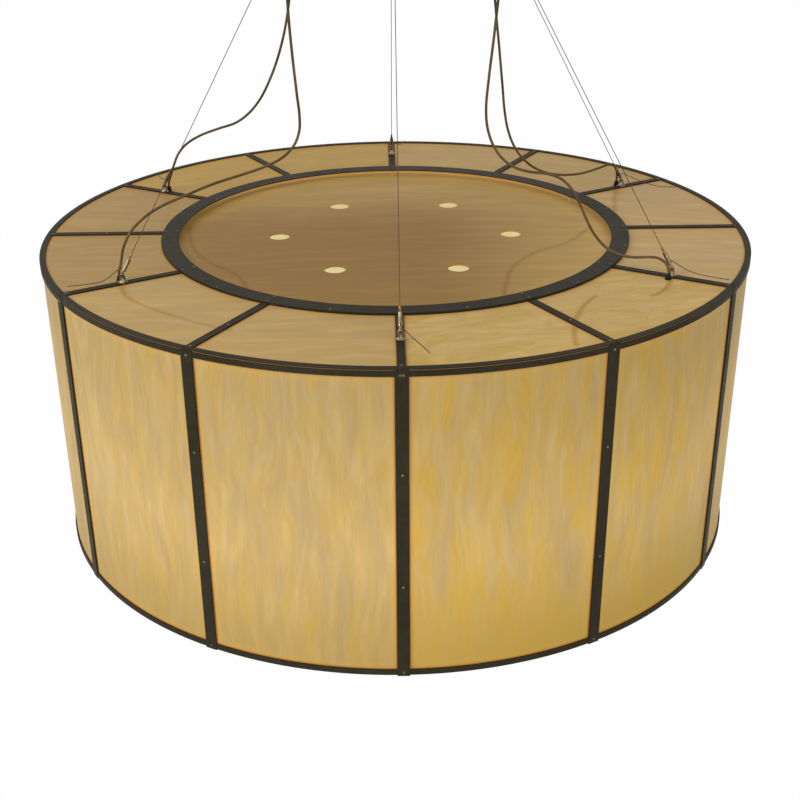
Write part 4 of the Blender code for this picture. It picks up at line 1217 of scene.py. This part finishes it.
class PENDANT_OT_vented_disc(Operator):
    """Cuts the lower centre disc with its six vents"""
    bl_idname = "pendant.vented_disc"
    bl_label = "Vented Disc"

    def execute(self, context):
        drum = context.scene.pendant_drum
        edge = [(DISC_RADIUS, DISC_TOP - drum.sheet), (DISC_RADIUS, DISC_TOP)]
        disc = turned("vented_disc", edge, drum.sides)
        drilled(disc, drills(on_circle(VENT_CIRCLE, ODD_SPOKES), drum.vent / 2, DISC_TOP, 64))
        fit(soften(disc), "drum", disc_finish(), "centre_disc")
        line_inside(disc)
        return {"FINISHED"}


# Inner edge of the top sheets, the thin lip under the rim flange, the middle of the slits between the sheets,
# the radii of the holes for the hanger rods and glands, and how far their drills stand out of the sheet
TOP_INNER = 0.491
LIP_INNER, LIP_OUTER, LIP_THICK = 0.757, 0.7608, 0.0013
SLIT_MIDDLE = 0.62
ROD_HOLE = 0.0036
GLAND_HOLE = 0.0048
TOP_OVERRUN = 0.02


class PENDANT_OT_amber_tops(Operator):
    """Cuts the six flat sheets of the drum's top"""
    bl_idname = "pendant.amber_tops"
    bl_label = "Top Sheets"

    def execute(self, context):
        thick = context.scene.pendant_drum.sheet
        for number, spoke in enumerate(EVEN_SPOKES, 1):
            sheet = sheet_arc(f"amber_top_{number}", TOP_INNER, SHEET_RADIUS, SHEET_TOP - thick, SHEET_TOP,
                              spoke, SLIT_MIDDLE)
            united(sheet, sheet_arc("edge", LIP_INNER, LIP_OUTER, SHEET_TOP - LIP_THICK, SHEET_TOP, spoke,
                                    SLIT_MIDDLE))
            rod = drills(on_circle(GRIPPER_RADIUS, [spoke + 1]), ROD_HOLE, SHEET_TOP, 24, TOP_OVERRUN)
            glands = [
                radial(k, GRIPPER_RADIUS, side * GLAND_OFFSET, 0)[:2] for k, side in CORD_SPOKES
                if k == (spoke if side < 0 else (spoke + 2) % 12)
            ]
            cuts = [drills([place], GLAND_HOLE, SHEET_TOP, 24, TOP_OVERRUN) for place in glands]
            drilled(sheet, joined([rod, *cuts]))
            finish = flat_finish(f"amber_top_{number}", number, TOP_LOOKS[number - 1],
                                 SHEET_LEADS.get(number, ()), SHEET_TOP)
            fit(shade(sheet), "drum", finish, f"top_sheet_{number}")
            line_inside(sheet)
        return {"FINISHED"}


HOOP_INNER = DRUM_RADIUS - 0.003
HOOP_TOP = DRUM_TOP - 0.0043
HOOP_FOOT = DRUM_TOP - 0.643
LEDGE_INNER = DRUM_RADIUS - 0.016
LEDGE_THICK = 0.003


class PENDANT_OT_hoops(Operator):
    """Rolls the drum's upper hoop and its lower hoop with the inner ledge"""
    bl_idname = "pendant.hoops"
    bl_label = "Hoops"

    def execute(self, context):
        drum = context.scene.pendant_drum
        outer, inner, foot = DRUM_RADIUS, HOOP_INNER, HOOP_FOOT
        upper = flat_ring("upper_hoop", outer, inner, SHEET_TOP - drum.hoop, HOOP_TOP)
        fit(soften(upper), "drum", bronze(), "side_frame")
        lower = turned("lower_hoop", [
            (outer, foot + drum.hoop), (outer, foot), (LEDGE_INNER, foot), (LEDGE_INNER, foot + LEDGE_THICK),
            (inner, foot + LEDGE_THICK), (inner, foot + drum.hoop), (outer, foot + drum.hoop),
        ], drum.sides, True)
        fit(soften(lower), "drum", bronze(), "side_frame")
        return {"FINISHED"}


BAR_BACK, BAR_FACE = 0.7594, 0.7629
BAR_LOW, BAR_TOP = DRUM_TOP - 0.645, DRUM_TOP - 0.0031
BAR_EDGE = 0.0006


class PENDANT_OT_side_bars(Operator):
    """Cuts one upright bar, eases its edges and stands twelve round the drum"""
    bl_idname = "pendant.side_bars"
    bl_label = "Side Bars"

    def execute(self, context):
        width = context.scene.pendant_drum.bar / 2
        bar = soften(block("side_bar", (BAR_BACK, -width, BAR_LOW), (BAR_FACE, width, BAR_TOP)), BAR_EDGE)
        places = [turn_to_spoke(spoke) for spoke in ALL_SPOKES]
        fit_around(bar, places, "drum", bronze(), "side_frame")
        return {"FINISHED"}


SIDE_TOP = DRUM_TOP - 0.0061


class PENDANT_OT_amber_sides(Operator):
    """Bends the six curved sheets of the drum's side"""
    bl_idname = "pendant.amber_sides"
    bl_label = "Side Sheets"

    def execute(self, context):
        inner = SHEET_RADIUS - context.scene.pendant_drum.sheet
        for number, spoke in enumerate(EVEN_SPOKES, 1):
            sheet = sheet_arc(f"amber_side_{number}", inner, SHEET_RADIUS, SHEET_BOTTOM, SIDE_TOP, spoke,
                              DRUM_RADIUS)
            fit(shade(sheet), "drum", side_finish(number), f"side_sheet_{number}")
            line_inside(sheet, "axis")
        return {"FINISHED"}


BASE_FLANGE = 0.020
DIFFUSER_LOW = DRUM_TOP - 0.6369


class PENDANT_OT_base(Operator):
    """Cuts the drum's bottom frame and the diffuser that lies on it"""
    bl_idname = "pendant.base"
    bl_label = "Bottom Frame and Diffuser"

    def execute(self, context):
        drum = context.scene.pendant_drum
        rings = spoked("spoked_base", BASE_RADIUS, BASE_FLANGE, RING_INNER,
                       SHEET_BOTTOM, SHEET_BOTTOM + drum.strip)
        fit(rings, "drum", bronze(), "bottom_frame")
        sheet = turned("base_diffuser", [
            (BASE_RADIUS, DIFFUSER_LOW), (BASE_RADIUS, DIFFUSER_LOW + drum.sheet),
        ], drum.sides)
        finish = flat_finish("amber_base", 12, BASE_LOOK, (), DIFFUSER_LOW)
        fit(soften(sheet), "drum", finish, "bottom_diffuser")
        line_inside(sheet, "up")
        return {"FINISHED"}


CARRIER_TOP = DRUM_TOP - 0.305
CARRIER_OUTER, CARRIER_INNER = 0.636, 0.633
CARRIER_HEIGHT = 0.0254
THREAD_LOW, THREAD_PITCH = -0.3225, 0.001
THREAD_CREST, THREAD_ROOT = 0.0030, 0.0026
STRIP_MIDDLE = CARRIER_TOP - CARRIER_HEIGHT / 2


class PENDANT_OT_lamp_ring(Operator):
    """Rolls the lamp carrier, threads its rods and sticks the light strip on"""
    bl_idname = "pendant.lamp_ring"
    bl_label = "Lamp Carrier"

    def execute(self, context):
        ring = flat_ring("lamp_ring", CARRIER_OUTER, CARRIER_INNER, CARRIER_TOP - CARRIER_HEIGHT, CARRIER_TOP)
        fit(soften(ring), "drum", lamp_washed_zinc(), "lamp_carrier")
        thread = []
        for low in (THREAD_LOW + turn * THREAD_PITCH for turn in range(24)):
            thread += [(THREAD_CREST, low), (THREAD_ROOT, low + THREAD_PITCH / 2)]
        rod = turned("hanger_rod", [
            (0.0029, -0.3235), (0.0030, -0.3230), *thread, (0.0030, -0.2980), (0.0030, -0.0028),
        ], 16)
        nut = turned("nut", [
            (0.0050, -0.3045), (0.0056, -0.3040), (0.0056, -0.3000), (0.0050, -0.2995), (0.0031, -0.2995),
        ], 6)
        places = [turn_to_spoke(spoke, GRIPPER_RADIUS, DRUM_TOP) for spoke in ODD_SPOKES]
        rods = named(joined(around(shade(joined([rod, nut]), 35), places)), "hanger_rods")
        fit(rods, "drum", lamp_washed_zinc(), "lamp_carrier")
        strip = turned("diode_strip", [(radius, STRIP_MIDDLE + up) for radius, up in (
            (0.6378, 0.006), (0.6383, 0.0055), (0.6383, -0.0055), (0.6378, -0.006), (0.6363, -0.006),
            (0.6363, 0.006), (0.6378, 0.006),
        )], context.scene.pendant_drum.sides, True)
        fit(shade(strip), "drum", diode_cover(), "light_strip")
        return {"FINISHED"}


# The plate's margin inside the canopy, its thickness and rounding, and its holes: circle and radius
PLATE_MARGIN = 0.013
PLATE_THICK = 0.003
PLATE_EDGE = 0.0003
SCREW_CIRCLE, SCREW_HOLE = 0.220, 0.004
SUPPLY_PLACES, SUPPLY_HOLE = ((0.150, 0), (-0.150, 0)), 0.035


class PENDANT_OT_ceiling_plate(Operator):
    """Cuts the ceiling plate and turns the six sockets that hold the ropes' ball ends"""
    bl_idname = "pendant.ceiling_plate"
    bl_label = "Ceiling Plate"

    def execute(self, context):
        radius = context.scene.pendant_hanging.canopy / 2 - PLATE_MARGIN
        plate = turned("ceiling_mount_plate", [(radius, -PLATE_THICK), (radius, 0)], 128)
        drilled(plate, drills(on_circle(SCREW_CIRCLE, ODD_SPOKES), SCREW_HOLE, 0, 32))
        drilled(plate, drills(SUPPLY_PLACES, SUPPLY_HOLE, 0, 64))
        plate = soften(plate, PLATE_EDGE)
        fit(plate, "canopy", metal("zinc_plated_steel"), "ceiling_plate")
        socket = turned("coupler_socket", [
            (0.0060, -0.0030), (0.0060, -0.0511), (0.0097, -0.0511), (0.0100, -0.0514), (0.0100, -0.0538),
            (0.0097, -0.0541), (0.0060, -0.0541), (0.0060, -0.0555), (0.0057, -0.0568), (0.0052, -0.0588),
            (0.0036, -0.0588), (0.0034, -0.0577), (0.0025, -0.0566), (0.0010, -0.0562),
        ], 32)
        places = [turn_to_spoke(spoke, ANCHOR_RADIUS) for spoke in EVEN_SPOKES]
        fit_around(shade(socket, 35), places, "canopy", metal("nickel_finish"),
                   "ceiling_plate")
        return {"FINISHED"}


CURVE_RADIUS = 0.003
INNER_CURVE = 0.0015
COVER_TOP = -GAP
COVER_EDGE = 0.0003
CABLE_HOLE = 0.0066
CORD_HOLE = 0.0045


class PENDANT_OT_canopy(Operator):
    """Spins the canopy cover, drills it and fits its cord grommets"""
    bl_idname = "pendant.canopy"
    bl_label = "Canopy"

    def execute(self, context):
        hanging = context.scene.pendant_hanging
        outer, wall, floor = hanging.canopy / 2, hanging.canopy_wall, CANOPY_FLOOR
        inner = outer - wall
        cover = turned("canopy_cover", [
            *[(outer - CURVE_RADIUS + CURVE_RADIUS * sin(a), floor + CURVE_RADIUS - CURVE_RADIUS * cos(a))
              for a in (pi / 2 * i / 5 for i in range(6))],
            (outer, COVER_TOP - EDGE), (outer - COVER_EDGE, COVER_TOP), (inner, COVER_TOP),
            (inner, floor + CURVE_RADIUS), (inner - INNER_CURVE, floor + wall),
        ], 180)
        cord_spokes = [spoke for spoke, _ in CORD_SPOKES]
        for radius, spokes, hole in ((ANCHOR_RADIUS, EVEN_SPOKES, CABLE_HOLE),
                                     (CORD_CANOPY_RADIUS, cord_spokes, CORD_HOLE)):
            for place in on_circle(radius, spokes):
                drilled(cover, drills([place], hole, floor, 32))
        fit(shade(cover), "canopy", bronze(), "canopy_pan")
        grommet = turned("cord_grommet", [
            (0.0029, -0.0002), (0.0050, -0.0002), (0.0055, 0.0002), (0.0055, 0), (0.0043, 0.0003),
            (0.0043, 0.0018), (0.0055, 0.0018), (0.0055, 0.0028), (0.0050, 0.0032), (0.0029, 0.0032),
            (0.0029, -0.0002),
        ], 32, True)
        places = [turn_to_spoke(spoke, CORD_CANOPY_RADIUS, floor) for spoke in cord_spokes]
        fit_around(shade(grommet, 35), places, "canopy", moulding(), "canopy_pan")
        return {"FINISHED"}


SLOT_HALF, SLOT_LOW, SLOT_TOP = 0.0003, 0.0005, 0.002


def screw_head(name, radius):
    """One small domed head with a cross slot, standing on z = 0."""
    head = turned(name, [
        (radius, -0.0002), (radius, 0.0002), (radius * 0.90, 0.0005), (radius * 0.68, 0.0008),
        (radius * 0.3, 0.0010),
    ], 16)
    reach = radius / 2
    cross = united(block("slot", (-reach, -SLOT_HALF, SLOT_LOW), (reach, SLOT_HALF, SLOT_TOP)),
                   block("slot", (-SLOT_HALF, -reach, SLOT_LOW), (SLOT_HALF, reach, SLOT_TOP)))
    return shade(drilled(head, cross), 35)


SCREW_LEVELS = (0.013, 0.207, 0.443, 0.6365)
PAIR_ASIDE = 0.0028
OUTER_SCREWS, INNER_SCREWS, FLANGE_SCREWS = 0.5015, 0.4770, 0.7477


class PENDANT_OT_screws(Operator):
    """Models one domed screw and sets it on the bars, the middle ring and the spokes"""
    bl_idname = "pendant.screws"
    bl_label = "Screws"

    def execute(self, context):
        radius = context.scene.pendant_drum.head / 2
        ring_top = DRUM_TOP + RING_RISE
        on_bars, on_ring, on_spokes = [], [], []
        for spoke in ALL_SPOKES:
            turn = Matrix.Rotation(spoke_angle(spoke), 4, "Z") @ Matrix.Rotation(pi / 2, 4, "Y")
            for level in SCREW_LEVELS:
                pair = spoke == 0 and level == SCREW_LEVELS[0]
                for side in (-PAIR_ASIDE, PAIR_ASIDE) if pair else (0,):
                    on_bars.append(Matrix.Translation(radial(spoke, BAR_FACE, side, -level)) @ turn)
            on_ring.append(turn_to_spoke(spoke, INNER_SCREWS, ring_top))
            on_ring.append(turn_to_spoke(spoke, OUTER_SCREWS, ring_top))
            on_ring.append(turn_to_spoke(spoke + 0.5, OUTER_SCREWS, ring_top))
            on_spokes.append(turn_to_spoke(spoke, FLANGE_SCREWS, DRUM_TOP))
            if spoke in ODD_SPOKES:
                on_spokes.append(turn_to_spoke(spoke, GRIPPER_RADIUS, DRUM_TOP))
        for name, places, node in (
            ("bar_screws", on_bars, "side_frame"),
            ("ring_screws", on_ring, "centre_ring"),
            ("spoke_screws", on_spokes, "top_frame"),
        ):
            heads = named(joined(around(screw_head(name, radius), places)), name)
            fit(heads, "drum", metal("dark_screw_heads"), node)
        return {"FINISHED"}


# Stage

WHITE = (1, 1, 1, 1)
FLOOR_DROP = -2.6
LAMP_SIZE = 3.2


def seen_directly(tree):
    """1 where the camera, a reflection or clear glass looks, 0 for the light itself."""
    path = add_node(tree, "LightPath").outputs
    seen = calc(tree, "MAXIMUM", path["Is Camera Ray"], path["Is Glossy Ray"])
    return calc(tree, "MAXIMUM", seen, path["Is Transmission Ray"])


def soft_lamp(name, place, aim, power):
    clear_selection()
    bpy.ops.object.light_add(type="AREA", location=place)
    lamp = bpy.context.object
    lamp.name = name
    lamp.rotation_euler = (Vector(aim) - Vector(place)).to_track_quat("-Z", "Y").to_euler()
    lamp.data.shape = "SQUARE"
    lamp.data.size = LAMP_SIZE
    lamp.data.energy = power


class PENDANT_OT_stage(Operator):
    """Lays the pale floor and sets the soft studio light"""
    bl_idname = "pendant.stage"
    bl_label = "Stage"

    def execute(self, context):
        clear_selection()
        bpy.ops.mesh.primitive_plane_add(size=60, location=(0, 0, 0))
        floor = named(context.object, "studio_floor")
        start_editing(floor)
        bpy.ops.mesh.subdivide(number_cuts=3)
        bpy.ops.transform.translate(value=(0, 0, FLOOR_DROP))
        stop_editing(floor)
        paper = bpy.data.materials.new("studio_floor")
        paper.use_nodes = True
        tree = paper.node_tree
        tree.nodes.remove(tree.nodes["Principled BSDF"])
        lit = add_node(tree, "BsdfDiffuse", {"Color": (0.95, 0.95, 0.95, 1)})
        glow = add_node(tree, "Emission", {"Color": WHITE, "Strength": 1.0})
        share = times(tree, seen_directly(tree), 0.975)
        mix = add_node(tree, "MixShader", {0: share, 1: lit.outputs[0], 2: glow.outputs[0]})
        feed(tree, tree.nodes["Material Output"], {"Surface": mix.outputs[0]})
        floor.data.materials.append(paper)

        world = bpy.data.worlds.new("studio")
        world.use_nodes = True
        tree = world.node_tree
        tree.nodes.clear()
        ambient = add_node(tree, "Background", {"Color": WHITE, "Strength": 0.55})
        white = add_node(tree, "Background", {"Color": WHITE, "Strength": 1.0})
        shown = {0: seen_directly(tree), 1: ambient.outputs[0], 2: white.outputs[0]}
        mix = add_node(tree, "MixShader", shown)
        add_node(tree, "OutputWorld", {"Surface": mix.outputs[0]})
        context.scene.world = world

        soft_lamp("key_lamp", (-3.5, -2.5, 1.5), (0, 0, -0.8), 128)
        soft_lamp("fill_lamp", (1.4, -3.9, 0.8), (0, 0, -0.9), 54)
        context.scene.view_settings.view_transform = "Standard"
        return {"FINISHED"}


class PENDANT_PT_panel(Panel):
    """Lists the pendant's pieces, sizes and finishes"""
    bl_label = "Drum Pendant"
    bl_idname = "PENDANT_PT_panel"
    bl_space_type = "VIEW_3D"
    bl_region_type = "UI"
    bl_category = "Pendant"

    def draw(self, context):
        layout = self.layout
        for made in OPERATORS:
            layout.operator(made.bl_idname)
        for group, label in (
            (context.scene.pendant_drum, "Drum"),
            (context.scene.pendant_hanging, "Hanging"),
            (context.scene.pendant_finishes, "Finishes"),
        ):
            box = layout.box()
            box.label(text=label)
            for key in group.__annotations__:
                box.prop(group, key)


OPERATORS = (
    PENDANT_OT_camera, PENDANT_OT_power_cords, PENDANT_OT_rope_tails, PENDANT_OT_wire_ropes,
    PENDANT_OT_cord_glands, PENDANT_OT_swivel_feet, PENDANT_OT_gripper_barrels, PENDANT_OT_plungers,
    PENDANT_OT_spoked_rim, PENDANT_OT_middle_ring, PENDANT_OT_vented_disc, PENDANT_OT_amber_tops,
    PENDANT_OT_hoops, PENDANT_OT_side_bars, PENDANT_OT_amber_sides, PENDANT_OT_base, PENDANT_OT_lamp_ring,
    PENDANT_OT_ceiling_plate, PENDANT_OT_canopy, PENDANT_OT_screws, PENDANT_OT_stage,
)
CLASSES = (PendantDrum, PendantHanging, PendantFinishes, *OPERATORS, PENDANT_PT_panel)


def register():
    for made in CLASSES:
        bpy.utils.register_class(made)
    bpy.types.Scene.pendant_drum = PointerProperty(type=PendantDrum)
    bpy.types.Scene.pendant_hanging = PointerProperty(type=PendantHanging)
    bpy.types.Scene.pendant_finishes = PointerProperty(type=PendantFinishes)


def unregister():
    del bpy.types.Scene.pendant_drum
    del bpy.types.Scene.pendant_hanging
    del bpy.types.Scene.pendant_finishes
    for made in reversed(CLASSES):
        bpy.utils.unregister_class(made)


def main():
    register()
    for made in OPERATORS:
        group, name = made.bl_idname.split(".")
        getattr(getattr(bpy.ops, group), name)()
    clear_selection()
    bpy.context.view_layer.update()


if __name__ == "__main__":
    main()
